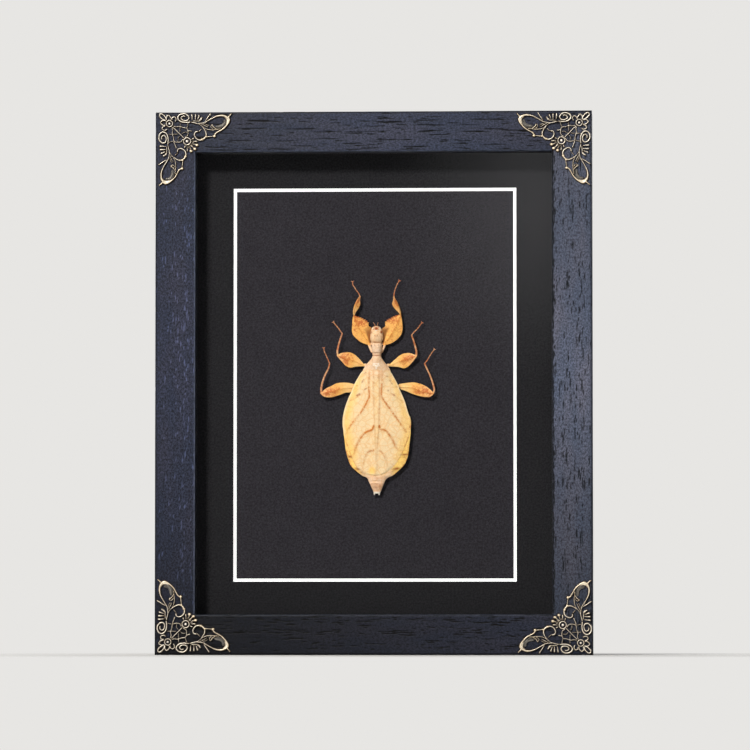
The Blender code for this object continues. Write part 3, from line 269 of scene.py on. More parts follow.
# Legs: the paths of the bare segments, then the two edges and the rib of each leafy blade from the body
# outwards, with its height at its start, middle and end. A toothed blade also has how high it folds up, and
# how far across it, from -1 at its outer edge to 1, its shade and its scorching begin
LEGS = {
    "fore_leg_left": dict(
        hip=[(-3.9, 21.3), (-3.2, 20.0), (-2.6, 18.6), (-2.1, 17.0)],
        tarsus=[(-7.7, 43.2), (-8.4, 44.9), (-9.4, 46.2), (-10.3, 47.7), (-11.1, 48.9), (-11.2, 50.1)],
        blades=[dict(
            heights=(2.0, 2.6, 3.0), toothed=True, shaded=0.26, scorched=-0.9, fold=-0.3,
            outer=[(-3.5, 20.7), (-5.3, 21.1), (-7.5, 22.1), (-9.6, 23.8), (-11.1, 25.6), (-11.5, 27.2),
                (-11.4, 29.9), (-11.1, 33.4), (-10.8, 34.5)],
            rib=[(-3.3, 21.0), (-6.0, 25.0), (-8.8, 29.6), (-10.5, 34.4)],
            inner=[(-2.9, 21.6), (-2.6, 23.4), (-2.2, 26.0), (-2.4, 28.8), (-3.6, 29.5), (-3.9, 30.9),
                (-4.6, 31.7), (-5.8, 32.5), (-7.4, 33.3), (-9.1, 33.9), (-10.2, 34.4)]
        ), dict(
            heights=(3.0, 3.2, 3.0), toothed=False,
            outer=[(-10.8, 34.2), (-11.0, 36.3), (-10.5, 38.8), (-9.4, 41.4), (-8.2, 43.2), (-7.9, 43.7)],
            rib=[(-10.5, 34.2), (-10.4, 36.7), (-9.5, 39.5), (-8.3, 41.8), (-7.7, 43.6)],
            inner=[(-10.2, 34.4), (-9.9, 35.5), (-9.2, 36.6), (-8.1, 38.4), (-7.6, 39.8), (-7.7, 41.4),
                (-7.4, 43.5)]
        )]),
    "fore_leg_right": dict(
        hip=[(4.2, 21.4), (3.6, 20.0), (3.0, 18.6), (2.4, 17.0)],
        tarsus=[(8.2, 42.8), (8.3, 44.7), (8.7, 46.4), (9.4, 48.3), (10.2, 49.9), (10.6, 50.5)],
        blades=[dict(
            heights=(2.0, 2.6, 3.0), toothed=True, shaded=0.42, scorched=-0.1, fold=0.9,
            outer=[(3.6, 20.6), (5.4, 20.9), (8.0, 22.0), (10.5, 24.0), (11.8, 26.0), (12.2, 28.2),
                (12.1, 31.1), (11.7, 33.8), (11.4, 35.1)],
            rib=[(3.5, 21.0), (6.4, 24.6), (9.2, 29.1), (11.2, 35.0)],
            inner=[(3.1, 21.6), (2.9, 23.4), (2.6, 26.0), (2.8, 28.3), (4.0, 29.2), (4.2, 31.1), (5.1, 32.1),
                (6.9, 33.1), (9.2, 34.2), (10.9, 34.8)]
        ), dict(
            heights=(3.0, 3.2, 3.0), toothed=False,
            outer=[(11.6, 34.7), (11.4, 36.3), (10.8, 38.4), (9.8, 40.7), (8.8, 42.4), (8.4, 43.3)],
            rib=[(11.3, 34.7), (10.9, 36.9), (9.7, 40.0), (8.6, 42.0), (8.2, 43.2)],
            inner=[(11.0, 34.7), (10.6, 35.5), (9.0, 37.2), (7.8, 38.8), (7.4, 39.9), (7.8, 41.4),
                (7.9, 43.2)]
        )]),
    "mid_leg_left": dict(
        tibia=[(-18.0, 15.1), (-18.3, 17.4), (-17.8, 20.2), (-17.0, 23.2), (-16.3, 25.3), (-16.0, 26.3)],
        tarsus=[(-16.1, 26.0), (-17.5, 28.0), (-19.0, 29.9), (-20.1, 31.2)],
        blades=[dict(
            heights=(1.7, 2.6, 3.2), toothed=False,
            outer=[(-5.8, 11.5), (-8.2, 14.3), (-10.4, 16.2), (-12.4, 17.1), (-14.8, 17.1), (-16.4, 16.8),
                (-17.5, 16.3), (-18.1, 15.7)],
            rib=[(-5.9, 10.9), (-9.5, 12.7), (-14.1, 14.1), (-18.1, 15.4)],
            inner=[(-6.3, 10.6), (-9.6, 10.5), (-12.4, 10.0), (-14.3, 10.8), (-16.1, 12.7), (-17.5, 14.3),
                (-18.1, 15.1)]
        )]),
    "mid_leg_right": dict(
        tibia=[(18.6, 15.0), (18.8, 17.2), (18.2, 19.9), (17.4, 22.7), (16.6, 24.9), (16.5, 25.4)],
        tarsus=[(16.5, 25.2), (17.8, 26.7), (19.6, 28.6), (20.7, 30.2), (21.2, 30.8)],
        blades=[dict(
            heights=(1.7, 2.6, 3.2), toothed=False,
            outer=[(6.1, 11.5), (8.6, 13.7), (10.9, 15.6), (12.7, 16.5), (14.5, 16.8), (16.2, 16.6),
                (17.8, 16.0), (18.7, 15.6)],
            rib=[(6.2, 10.9), (9.7, 12.5), (14.1, 13.9), (18.7, 15.3)],
            inner=[(6.7, 10.5), (10.2, 10.3), (13.2, 9.7), (14.7, 10.4), (16.5, 12.1), (18.0, 13.9),
                (18.8, 15.0)]
        )]),
    "hind_leg_left": dict(
        tibia=[(-25.7, -2.6), (-25.9, -0.5), (-25.6, 1.9), (-25.0, 4.0), (-24.0, 6.7), (-22.6, 9.4),
            (-21.9, 12.2)],
        tarsus=[(-22.0, 11.9), (-22.6, 13.5), (-23.7, 15.9), (-24.5, 17.8), (-24.7, 19.0)],
        blades=[dict(
            heights=(1.5, 2.3, 3.0), toothed=False,
            outer=[(-10.3, 2.2), (-12.7, 2.8), (-16.0, 3.0), (-18.6, 2.7), (-21.4, 1.3), (-23.7, 0.2),
                (-24.9, -0.8), (-25.9, -1.9)],
            rib=[(-10.5, 0.7), (-15.6, 0.2), (-21.1, -1.4), (-25.8, -2.3)],
            inner=[(-11.4, -0.8), (-12.3, -1.5), (-14.4, -1.7), (-17.1, -2.7), (-20.2, -3.7), (-22.9, -3.9),
                (-24.7, -3.5), (-25.8, -2.7)]
        )]),
    "hind_leg_right": dict(
        tibia=[(26.4, -2.7), (27.1, -0.6), (26.7, 1.6), (25.7, 4.8), (24.3, 8.1), (22.9, 11.1),
            (22.5, 12.1)],
        tarsus=[(22.5, 11.8), (23.5, 12.9), (24.8, 15.1), (26.2, 17.2), (27.0, 18.3)],
        blades=[dict(
            heights=(1.5, 2.3, 3.0), toothed=False,
            outer=[(10.4, 2.2), (14.4, 2.8), (17.6, 3.0), (20.3, 2.4), (22.4, 1.6), (24.3, 0.4),
                (25.7, -0.8), (26.6, -1.8)],
            rib=[(10.6, 1.0), (15.8, 0.5), (21.4, -1.2), (26.5, -2.4)],
            inner=[(11.4, -0.2), (14.0, -1.1), (16.5, -2.2), (19.5, -3.2), (22.6, -3.8), (25.1, -3.8),
                (26.4, -3.0)]
        )]),
}
TEETH, TOOTH_LENGTH = 16, 1.3
HIP_RADII, HIP_HEIGHTS = (0.45, 0.6, 0.6, 0.4), (2.6, 2.6)
TIBIA_RADII, TIBIA_HEIGHTS = (0.47, 0.42, 0.37, 0.33), (3.1, 2.8)
TARSUS_RADII, TARSUS_HEIGHTS = (0.26, 0.23, 0.21), (2.9, 2.2)
FEELER_HEIGHTS = (3.9, 4.3)
ANTENNAE = {
    "antenna_left": [(-0.5, 29.5), (-0.75, 30.0), (-1.1, 30.6), (-1.45, 31.1)],
    "antenna_right": [(0.45, 29.5), (0.6, 30.1), (0.75, 30.7), (0.85, 31.2)],
}

# Where the upper forewing laps over the lower one: place along the axis, its edge and the edge under it
WING_LAP = [(9.2, 1.5, -1.4), (-5.2, 1.6, -1.4), (-17.3, 1.2, -0.7), (-29.3, 0.3, -0.25), (-40.4, 0.25, -0.2)]

# The wings' brown veins: the width of each and how dark it is at places evenly spread along it
VEINS = [
    (0.8, (0.5, 0.75, 0.95), [(-3.2, 8.2), (-3.4, 2.0), (-3.3, -4.0)]),
    (0.8, (1.0, 1.0, 0.9, 0.5), [(-3.3, -4.0), (-6.2, -9.7), (-11.9, -17.0), (-14.4, -21.2)]),
    (0.8, (0.4, 0.75, 0.9), [(2.8, 8.2), (2.6, 2.0), (2.3, -3.7)]),
    (0.8, (0.9, 1.0, 0.9, 0.5), [(2.3, -3.7), (6.5, -9.7), (12.5, -18.2), (14.0, -20.3)]),
    (0.9, (1.0, 1.0, 0.9, 0.5), [(-1.2, -17.6), (-2.0, -19.2), (-4.7, -20.3), (-6.5, -22.1), (-9.2, -26.6),
        (-10.7, -30.8)]),
    (0.9, (1.0, 0.85, 0.8, 0.4), [(1.4, -17.4), (1.7, -18.6), (4.4, -19.7), (6.4, -22.1), (8.3, -25.7),
        (9.8, -28.7)]),
    (0.8, (1.0, 0.8, 0.45, 0.3), [(-1.4, -29.0), (-3.6, -29.5), (-5.0, -31.6), (-6.0, -35.4),
        (-6.5, -38.4)]),
    (0.7, (0.6, 0.5, 0.35, 0.25), [(1.4, -28.9), (2.8, -30.2), (4.3, -33.0), (5.4, -36.6)]),
    (0.5, (0.3, 0.5, 0.3), [(-12.8, -6.0), (-9.5, -4.2), (-5.5, -1.5)]),
    (0.5, (0.3, 0.4, 0.2), [(12.5, -6.5), (9.5, -4.0), (6.0, -1.8)]),
]

# Marks: place, half length and half width, the slope in degrees and how strong. These are brown
MARKS = [
    (-4.9, 9.8, 0.7, 0.3, 40, 0.6), (-5.2, 7.4, 0.8, 0.35, 30, 0.6), (-6.5, 3.3, 0.7, 0.4, 60, 0.7),
    (-6.0, 4.2, 0.45, 0.3, 40, 0.6), (-9.1, 1.4, 0.5, 0.35, 0, 0.5), (-5.1, -0.2, 0.85, 0.32, 35, 0.9),
    (-8.0, -2.6, 0.6, 0.42, 25, 1.0), (-8.9, -3.1, 0.6, 0.42, 25, 1.0), (-12.1, -5.2, 0.6, 0.3, 20, 0.45),
    (5.1, 5.8, 0.5, 0.35, 0, 0.6), (6.5, 3.6, 0.7, 0.35, -60, 0.6), (7.3, 2.4, 0.5, 0.35, -50, 0.6),
    (9.5, 1.0, 0.6, 0.35, 0, 0.5), (5.6, -0.9, 0.45, 0.38, 0, 0.7), (8.3, -3.0, 0.75, 0.42, -30, 0.75),
    (7.2, -2.4, 0.4, 0.25, -20, 0.5), (3.2, 0.9, 0.5, 0.2, -20, 0.5), (11.9, -5.6, 0.5, 0.3, 0, 0.4),
    (-1.3, 5.5, 0.35, 0.3, 0, 0.35), (0.9, 5.2, 0.35, 0.3, 0, 0.35), (-0.9, 2.6, 0.35, 0.3, 0, 0.4),
    (-0.4, 8.6, 1.0, 0.5, 0, 0.35), (1.4, -17.8, 0.5, 0.5, 0, 0.45), (-2.6, -19.6, 1.0, 0.35, 20, 0.4),
    (-3.0, -29.4, 1.1, 0.35, 10, 0.4), (1.7, -29.2, 0.5, 0.35, 0, 0.4),
]
BELLY_MARKS = [
    (13.2, -30.9, 1.9, 0.45, 4, 1.0), (13.3, -32.0, 1.0, 0.7, 0, 0.5), (9.3, -37.5, 1.8, 0.6, 8, 1.0),
    (8.0, -38.6, 1.0, 0.5, 30, 0.5), (-12.4, -31.8, 1.1, 0.6, -20, 1.0), (-12.9, -33.2, 0.5, 0.8, 10, 0.4),
    (-8.8, -37.6, 1.3, 0.55, -15, 1.0), (-6.8, -39.2, 1.2, 0.5, -25, 0.5),
]
HEAD_MARKS = [
    (0.1, 28.2, 0.9, 0.75, 0, 1.4), (-1.2, 27.8, 0.4, 0.35, 0, 0.8), (1.1, 27.8, 0.4, 0.35, 0, 0.8),
    (-2.5, 26.4, 0.5, 0.75, -10, 0.9), (2.45, 26.5, 0.5, 0.65, 15, 1.3), (-0.75, 29.3, 0.25, 0.25, 0, 0.8),
    (0.8, 29.4, 0.25, 0.25, 0, 0.8), (-0.55, 24.7, 0.28, 0.45, 20, 0.8), (0.55, 24.7, 0.28, 0.45, -20, 0.8),
    (0.0, 22.9, 0.14, 0.7, 0, 0.4), (-0.83, 20.3, 0.2, 0.5, 0, 0.8), (1.05, 20.3, 0.2, 0.5, 0, 0.8),
    (0.1, 18.8, 0.12, 1.2, 0, 0.4), (1.6, 18.0, 0.3, 0.3, 0, 0.5), (0.1, 16.7, 2.2, 0.2, 0, 1.0),
    (0.1, 15.5, 2.2, 0.2, 0, 1.0), (0.0, 21.8, 2.4, 0.2, 0, 0.6), (0.15, -41.9, 1.1, 0.5, 0, 0.5),
    (-1.7, 13.0, 0.25, 1.2, 8, 0.4), (1.9, 13.0, 0.25, 1.2, -8, 0.4), (-1.9, 21.2, 0.4, 0.4, 0, 0.4),
    (0.1, -43.2, 3.2, 0.14, 0, 0.4), (0.0, -44.6, 2.4, 0.18, 0, 1.1), (-0.4, -46.0, 0.8, 0.9, 0, 0.4),
    (1.7, -45.6, 0.35, 1.0, 0, 0.75),
]
# White flecks round the mouth and on the middle of the thorax
PEARLS = [
    (-1.8, 28.4, 0.4, 0.35, 0, 0.9), (1.8, 28.5, 0.4, 0.35, 0, 0.9), (0.0, 27.1, 0.6, 0.25, 0, 0.7),
    (-1.0, 11.5, 0.45, 0.35, 0, 1.2), (0.0, 11.6, 0.3, 0.3, 0, 1.0), (0.95, 11.5, 0.45, 0.35, 0, 1.2),
    (-1.35, 10.8, 0.3, 0.3, 0, 1.0), (1.35, 10.8, 0.3, 0.3, 0, 1.0), (-0.35, 10.7, 0.4, 0.35, 0, 1.2),
    (0.45, 10.5, 0.4, 0.4, 0, 1.2), (0.05, 9.6, 0.35, 0.55, 0, 1.2),
]
# A pink flush at the sides of the tail, and the brown hollow of the thorax
PINK_FLANKS = [(6.0, -39.2, 1.9, 1.2, 20, 0.9), (-6.2, -39.2, 1.9, 1.0, -20, 0.7)]
HOLLOWS = [(0.0, 10.9, 2.4, 1.9, 0, 1.0)]

# How far the net of the cuticle drifts from a regular one, in metres, and how fast
NET_DRIFT, DRIFT_SCALE = (0.0012, 0.0012, 0.0012), 300.0

# The floor and the plain ground behind everything
FLOOR_REACH, FLOOR_Z = 12.0, -0.1 * MM
PALE_GROUND = (0.80, 0.79, 0.77, 1)


class Amount:
    """A number inside a finish. Arithmetic on it adds the Math nodes that work it out."""

    def __init__(self, finish, socket):
        self.finish, self.socket = finish, socket

    def work(self, operation, *terms):
        return self.finish.node("Math", {"operation": operation}, dict(enumerate(terms)))

    def __add__(self, other):
        return self.work("ADD", self, other)

    def __sub__(self, other):
        return self.work("SUBTRACT", self, other)

    def __rsub__(self, other):
        return self.work("SUBTRACT", other, self)

    def __mul__(self, other):
        return self.work("MULTIPLY", self, other)

    __radd__, __rmul__ = __add__, __mul__

    def between(self, low, high):
        """0 below low, 1 above high and a smooth rise between them."""
        sockets = {0: self, 1: low, 2: high, 3: 0.0, 4: 1.0}
        return self.finish.node("MapRange", {"interpolation_type": "SMOOTHSTEP"}, sockets)


class Finish:
    """A material, or a world, in the making. Sizes and depths in it are in millimetres."""

    def __init__(self, name, world=None):
        self.material = world or bpy.data.materials.new(name)
        self.material.use_nodes = True
        self.tree = self.material.node_tree
        self.tree.nodes.clear()

    def node(self, kind, settings=None, sockets=None, output=0):
        """Adds a node and fills its sockets with values or links. Its chosen output comes back."""
        made = self.tree.nodes.new("ShaderNode" + kind)
        for name, setting in (settings or {}).items():
            setattr(made, name, setting)
        for name, value in (sockets or {}).items():
            if isinstance(value, Amount):
                self.tree.links.new(value.socket, made.inputs[name])
            elif isinstance(value, (tuple, list)) and len(value) < len(made.inputs[name].default_value):
                made.inputs[name].default_value = (*value, 1.0)
            else:
                made.inputs[name].default_value = value
        return Amount(self, made.outputs[output]) if made.outputs else None

    def place(self):
        """Where a point is in the object, in metres."""
        return self.node("TexCoord", output="Object")

    def painted(self, name, output="Fac"):
        """A number that the mesh carries at each of its points, or a place where the output is Vector."""
        return self.node("Attribute", {"attribute_name": name}, output=output)

    def vector(self, operation, *terms, output=0):
        return self.node("VectorMath", {"operation": operation}, dict(enumerate(terms)), output)

    def noise(self, size, detail=2.0, roughness=0.5, seed=0.0, stretch=None, at=None):
        """Cloudy variation from 0 to 1 whose patches are about size across where nothing stretches them."""
        at = at or self.place()
        if stretch:
            at = self.vector("MULTIPLY", at, stretch)
        sockets = {"Vector": at, "W": seed, "Scale": 1.0 / (size * MM), "Detail": detail}
        sockets["Roughness"] = roughness
        return self.node("TexNoise", {"noise_dimensions": "4D"}, sockets, "Fac")

    def cells(self, vector, size):
        """The distance to the nearest border of a net of cells."""
        sockets = {"Vector": vector, "Scale": 1.0 / (size * MM)}
        return self.node("TexVoronoi", {"feature": "DISTANCE_TO_EDGE"}, sockets, "Distance")

    def mix(self, share, first, second, blend="MIX"):
        """Two colours mixed: first where share is 0 and second where it is 1."""
        settings = {"data_type": "RGBA", "blend_type": blend, "clamp_factor": True}
        return self.node("Mix", settings, {0: share, 6: first, 7: second}, 2)

    def toned(self, colour, amount):
        """A colour made lighter or darker by a number that varies."""
        grey = self.node("CombineColor", None, {0: amount, 1: amount, 2: amount})
        return self.mix(1.0, colour, grey, "MULTIPLY")

    def relief(self, height, depth, strength):
        sockets = {"Strength": strength, "Distance": depth * MM, "Height": height}
        return self.node("Bump", None, sockets, "Normal")

    def surface(self, **sockets):
        """The shader itself. A socket's name is written with underscores."""
        named = {name.replace("_", " "): value for name, value in sockets.items()}
        shader = self.node("BsdfPrincipled", None, named)
        self.node("OutputMaterial", None, {"Surface": shader})
        return self.material


def shade(*levels):
    """A colour given as it looks on a screen, 0 to 255, as the light that it stands for."""
    shares = [level / 255 for level in levels]
    return tuple(share / 12.92 if share <= 10 / 255 else ((share + 0.055) / 1.055) ** 2.4 for share in shares)


def ramp(values, low, high):
    """0 below low, 1 above high and a smooth rise between them."""
    share = np.clip((values - low) / (high - low), 0, 1)
    return share * share * (3 - 2 * share)


def fall(values, low, high):
    """1 below low, 0 above high and a smooth fall between them."""
    return 1 - ramp(values, low, high)


def unit(rows):
    """Rows of numbers as directions, each of length 1."""
    return rows / np.linalg.norm(rows, axis=1)[:, None]


def spread(values, shares):
    """Values evenly spread from 0 to 1, read between them at the given shares of the way."""
    return np.interp(shares, np.linspace(0, 1, len(values)), values)


def lengths_along(points):
    """How far along its line each point is."""
    return np.concatenate([[0.0], np.cumsum(np.linalg.norm(np.diff(points, axis=0), axis=1))])


def path_length(points):
    return float(np.linalg.norm(np.diff(np.array(points, float), axis=0), axis=1).sum())


def smooth_path(points, count):
    """count points, evenly spread along a smooth curve through the given ones."""
    known = np.array(points, float)
    at = lengths_along(known)
    slopes = np.gradient(known, at, axis=0)
    fine = np.linspace(0.0, at[-1], 24 * len(known))
    index = np.clip(np.searchsorted(at, fine, side="right") - 1, 0, len(known) - 2)
    span = np.linalg.norm(np.diff(known, axis=0), axis=1)[index][:, None]
    t = ((fine - at[index])[:, None]) / span
    dense = (
        (2 * t**3 - 3 * t**2 + 1) * known[index]
        + (t**3 - 2 * t**2 + t) * span * slopes[index]
        + (-2 * t**3 + 3 * t**2) * known[index + 1]
        + (t**3 - t**2) * span * slopes[index + 1]
    )
    along = lengths_along(dense)
    wanted = np.linspace(0.0, along[-1], count)
    return np.stack([np.interp(wanted, along, dense[:, k]) for k in range(dense.shape[1])], axis=1)


BODY_PROFILE = smooth_path(BODY_SECTIONS[::-1], 2400)


def round_ends(share, length, radius):
    """How thick a rod with round ends is along its length: 1 in its middle and 0 at its tips."""
    end = np.clip(np.minimum(share, 1 - share) * length / radius, 0, 1)
    return np.sqrt(1 - (1 - end) ** 2)


def linked(name, data):
    """A new object in the scene, made from a mesh, a lamp or a lens."""
    made = bpy.data.objects.new(name, data)
    bpy.context.scene.collection.objects.link(made)
    return made


def smoothed(name, mesh, finish, sharp):
    """An object from a mesh, shaded smooth but for edges sharper than the angle."""
    mesh.materials.clear()
    if finish:
        mesh.materials.append(finish)
    mesh.shade_smooth()
    mesh.set_sharp_from_angle(angle=math.radians(sharp))
    return linked(name, mesh)


def turned_outwards(points, quads, caps=()):
    """The faces as lists, turned over if they enclose their volume inside out."""
    quads = np.asarray(quads)
    middle = points.mean(axis=0)
    a, b, c, d = (points[quads[:, k]] - middle for k in range(4))
    volume = (np.cross(a, b) * c).sum() + (np.cross(c, d) * a).sum()
    for cap in caps:
        corners = points[cap] - middle
        volume += (np.cross(corners[1:-1], corners[2:]) @ corners[0]).sum()
    faces = quads.tolist() + [list(cap) for cap in caps]
    return faces if volume > 0 else [face[::-1] for face in faces]


def mesh_piece(name, points, faces, finish, sharp=60):
    mesh = bpy.data.meshes.new(name)
    mesh.from_pydata(points.tolist(), [], faces)
    return smoothed(name, mesh, finish, sharp)


def skin(name, rings, finish=None, closed_loop=False, sharp=60):
    """A closed skin over rings of the same number of points. Its ends are filled unless it is a loop."""
    rings = np.asarray(rings, float)
    count, sides = rings.shape[:2]
    index = np.arange(count * sides).reshape(count, sides)
    following = np.roll(index, -1, axis=0) if closed_loop else index[1:]
    first = index if closed_loop else index[:-1]
    quads = [first, np.roll(first, -1, 1), np.roll(following, -1, 1), following]
    quads = np.stack(quads, axis=-1).reshape(-1, 4)
    caps = () if closed_loop else (index[0][::-1], index[-1])
    points = rings.reshape(-1, 3)
    return mesh_piece(name, points, turned_outwards(points, quads, caps), finish, sharp)


def united(name, parts, finish, sharp=60):
    """Overlapping closed shapes made one body."""
    base = parts[0]
    for other in parts[1:]:
        step = base.modifiers.new("join", "BOOLEAN")
        step.operation = "UNION"
        step.solver = "MANIFOLD"
        step.object = other
    bpy.context.view_layer.update()
    mesh = bpy.data.meshes.new_from_object(base.evaluated_get(bpy.context.evaluated_depsgraph_get()))
    for part in parts:
        bpy.data.objects.remove(part)
    mesh.name = name
    return smoothed(name, mesh, finish, sharp)


def paint(obj, **masks):
    """Gives each point of the mesh a number for each mask or, from three times as many numbers, a place."""
    count = len(obj.data.vertices)
    for name, values in masks.items():
        values = np.asarray(values, np.float32)
        kind, slot = ("FLOAT_VECTOR", "vector") if values.size == 3 * count else ("FLOAT", "value")
        attribute = obj.data.attributes.new(name, kind, "POINT")
        attribute.data.foreach_set(slot, values.ravel() if values.size > 1 else np.full(count, values))


def vectors_of(obj, what="co"):
    """The places of a mesh's points, or their normals."""
    flat = np.empty(len(obj.data.vertices) * 3)
    obj.data.vertices.foreach_get(what, flat)
    return flat.reshape(-1, 3)


def kept(piece, slot, *nodes):
    """A finished piece: it rides on the object and may stand for solids, which are then hidden. The slot is
    not used.
    """
    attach(piece, "root")
    if nodes:
        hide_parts(*nodes)
    return piece


def dressed(node, finish):
    """A solid that is shown as it is, in a better finish."""
    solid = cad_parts[node]
    solid.data.materials.clear()
    solid.data.materials.append(finish)
    return solid


def stained_wood(look):
    """Open-grained wood under a blue-black satin stain, its pores darker or, as painted glints, lighter."""
    finish = Finish(look["piece"] + "_stain")
    grain = finish.painted("grain", "Vector")

    def grained(along, *noise):
        return finish.noise(*noise, stretch=(along, 1.0, 1.0), at=grain)

    pores = finish.painted("pore")
    streaks = grained(0.05, 0.5, 3.0, 0.6)
    clouds = grained(0.25, 9, 3.0)
    specks = grained(0.7, 0.8, 2.0, 0.8)
    fine = grained(0.12, 0.2, 3.0, 0.6)
    wriggle = grained(0.8, 1.1, 2.0, 0.6, 2.0)
    wriggle = wriggle.between(0.44, 0.5) * (1 - wriggle.between(0.52, 0.58)) * look["worms"]
    strength, low, high = look["speckle"]
    level = 0.2 + 0.5 * streaks + strength * specks.between(low, high) + 0.8 * wriggle
    level = level * (0.75 + 0.5 * clouds)
    # Painted light and shade: each moulding lighter or darker as a whole and from one end to the other
    tone = finish.painted("light") * look["tone"]
    red, green, blue = look["stain"]
    tint = finish.mix(clouds.between(0.3, 0.7), shade(red, green, blue), shade(red + 4, green, blue - 3))
    filled = finish.toned(tint, look["pore"] * tone)
    colour = finish.mix(pores, finish.toned(tint, level * tone), filled)
    # A painted highlight along the inner arris
    colour = finish.mix(finish.painted("worn") * (0.3 + 1.4 * specks), colour, shade(122, 132, 152))
    # Painted shade along the outer arris
    colour = finish.toned(colour, 1 - 0.72 * finish.painted("dusk"))
    bumps = finish.relief(fine + streaks * 0.6 + specks * 0.5, 0.05, 0.8)
    roughness = 0.40 + 0.12 * streaks + 0.3 * pores
    return finish.surface(Base_Color=colour, Roughness=roughness, Normal=bumps, Specular_IOR_Level=0.18)


def moulding_section():
    """The moulding's section all the way round: how far in from the outer edge and how deep each point is."""
    depth, inner = BACK_Y - FRONT_Y, FACE_WIDTH - REBATE_WIDTH
    # Each corner, the radius of its arris and the spacing of the points on the side that follows it
    corners = [
        ((0.0, depth), BACK_ARRIS, 0.55 * MM), ((0.0, 0.0), ARRIS, 0.21 * MM),
        ((FACE_WIDTH, 0.0), ARRIS, 0.3 * MM), ((FACE_WIDTH, LIP_DEPTH), 0.2 * MM, 0.9 * MM),
        ((inner, LIP_DEPTH), 0.1 * MM, 1.6 * MM), ((inner, depth), BACK_ARRIS, 0.6 * MM),
    ]
    section = []
    for number, (corner, radius, spacing) in enumerate(corners):
        after, following_radius, _ = corners[(number + 1) % len(corners)]
        before, corner, after = np.array([corners[number - 1][0], corner, after])
        arriving = (corner - before) / np.linalg.norm(corner - before)
        leaving = (after - corner) / np.linalg.norm(after - corner)
        for angle in np.linspace(0, math.pi / 2, 6):
            back, on = 1 - math.sin(angle), 1 - math.cos(angle)
            section.append(corner + radius * (-back * arriving + on * leaving))
        start = corner + radius * leaving
        end = after - following_radius * leaving
        steps = max(1, round(float(np.linalg.norm(end - start)) / spacing))
        section += [start + (end - start) * k / steps for k in range(1, steps)]
    return np.array(section)


def pore_map(along, around, look):
    """How deep the open pores are over a board, from 0 to 1: short furrows along the grain, crowded in bands.

    Where lean is 1 the front has them only towards its inner edge. The gnawed share lies on that edge.
    """
    rng = np.random.default_rng(look["seed"])
    depth = np.zeros((len(along), len(around)))
    reach, width = float(np.ptp(along)), float(np.ptp(around))
    front = BACK_Y - FRONT_Y
    count = int(look["crowd"] * reach * width / SQUARE_CM)
    band = rng.uniform(*GRAIN_BANDS) * MM
    for _ in range(count):
        length = rng.uniform(*look["length"]) ** rng.choice([0.6, 1.0]) * MM
        start = rng.uniform(along[0], along[-1])
        middle = rng.uniform(0, width)
        crowding = 0.5 + 0.5 * math.sin(2 * math.pi * (middle + BAND_SLOPE * start) / band)
        across = (middle - front) / FACE_WIDTH
        wanted = 1 - look["lean"] * (1 - float(ramp(across, 0.15, 0.75)))
        if look["gnawed"] and rng.random() < look["gnawed"]:
            length = min(length, GNAWED_LENGTH)
            middle = front + FACE_WIDTH + rng.normal(-0.3, 0.45) * MM
        elif rng.random() > (0.25 + 0.75 * crowding) * wanted:
            continue
        half_width = rng.uniform(*PORE_HALF_WIDTHS) * MM
        slope = rng.normal(0.0, PORE_SLOPE)
        strength = rng.uniform(0.7, 1.0)
        rows = np.flatnonzero((along > start) & (along < start + length))
        if not len(rows):
            continue
        share = (along[rows] - start) / length
        ragged = 0.8 + 0.2 * np.sin(share * rng.uniform(6, 20) + rng.uniform(0, 6))
        line = middle + slope * (along[rows] - start) + 0.05 * MM * np.sin(share * 9 + rng.uniform(0, 6))
        columns = np.flatnonzero(np.abs(around - middle) < 4 * half_width + abs(slope) * length)
        if not len(columns):
            continue
        off = (around[columns] - line[:, None]) / half_width
        furrow = strength * (np.sin(math.pi * share) ** 0.4 * ragged)[:, None] * np.exp(-(off**2))
        window = np.ix_(rows, columns)
        depth[window] = np.maximum(depth[window], furrow)
    return depth


def swell_map(along, around, seed):
    """The slow waves of a board that was sanded by hand, from -1 to 1."""
    rng = np.random.default_rng(seed)
    swell = np.zeros((len(along), len(around)))
    for _ in range(SWELLS):
        wave_along, wave_around = rng.uniform(25, 90) * MM, rng.uniform(2.5, 8) * MM
        phase = rng.uniform(0, 2 * math.pi)
        swell += np.sin(along[:, None] / wave_along * 6 + around / wave_around * 6 + phase) / SWELLS
    return swell


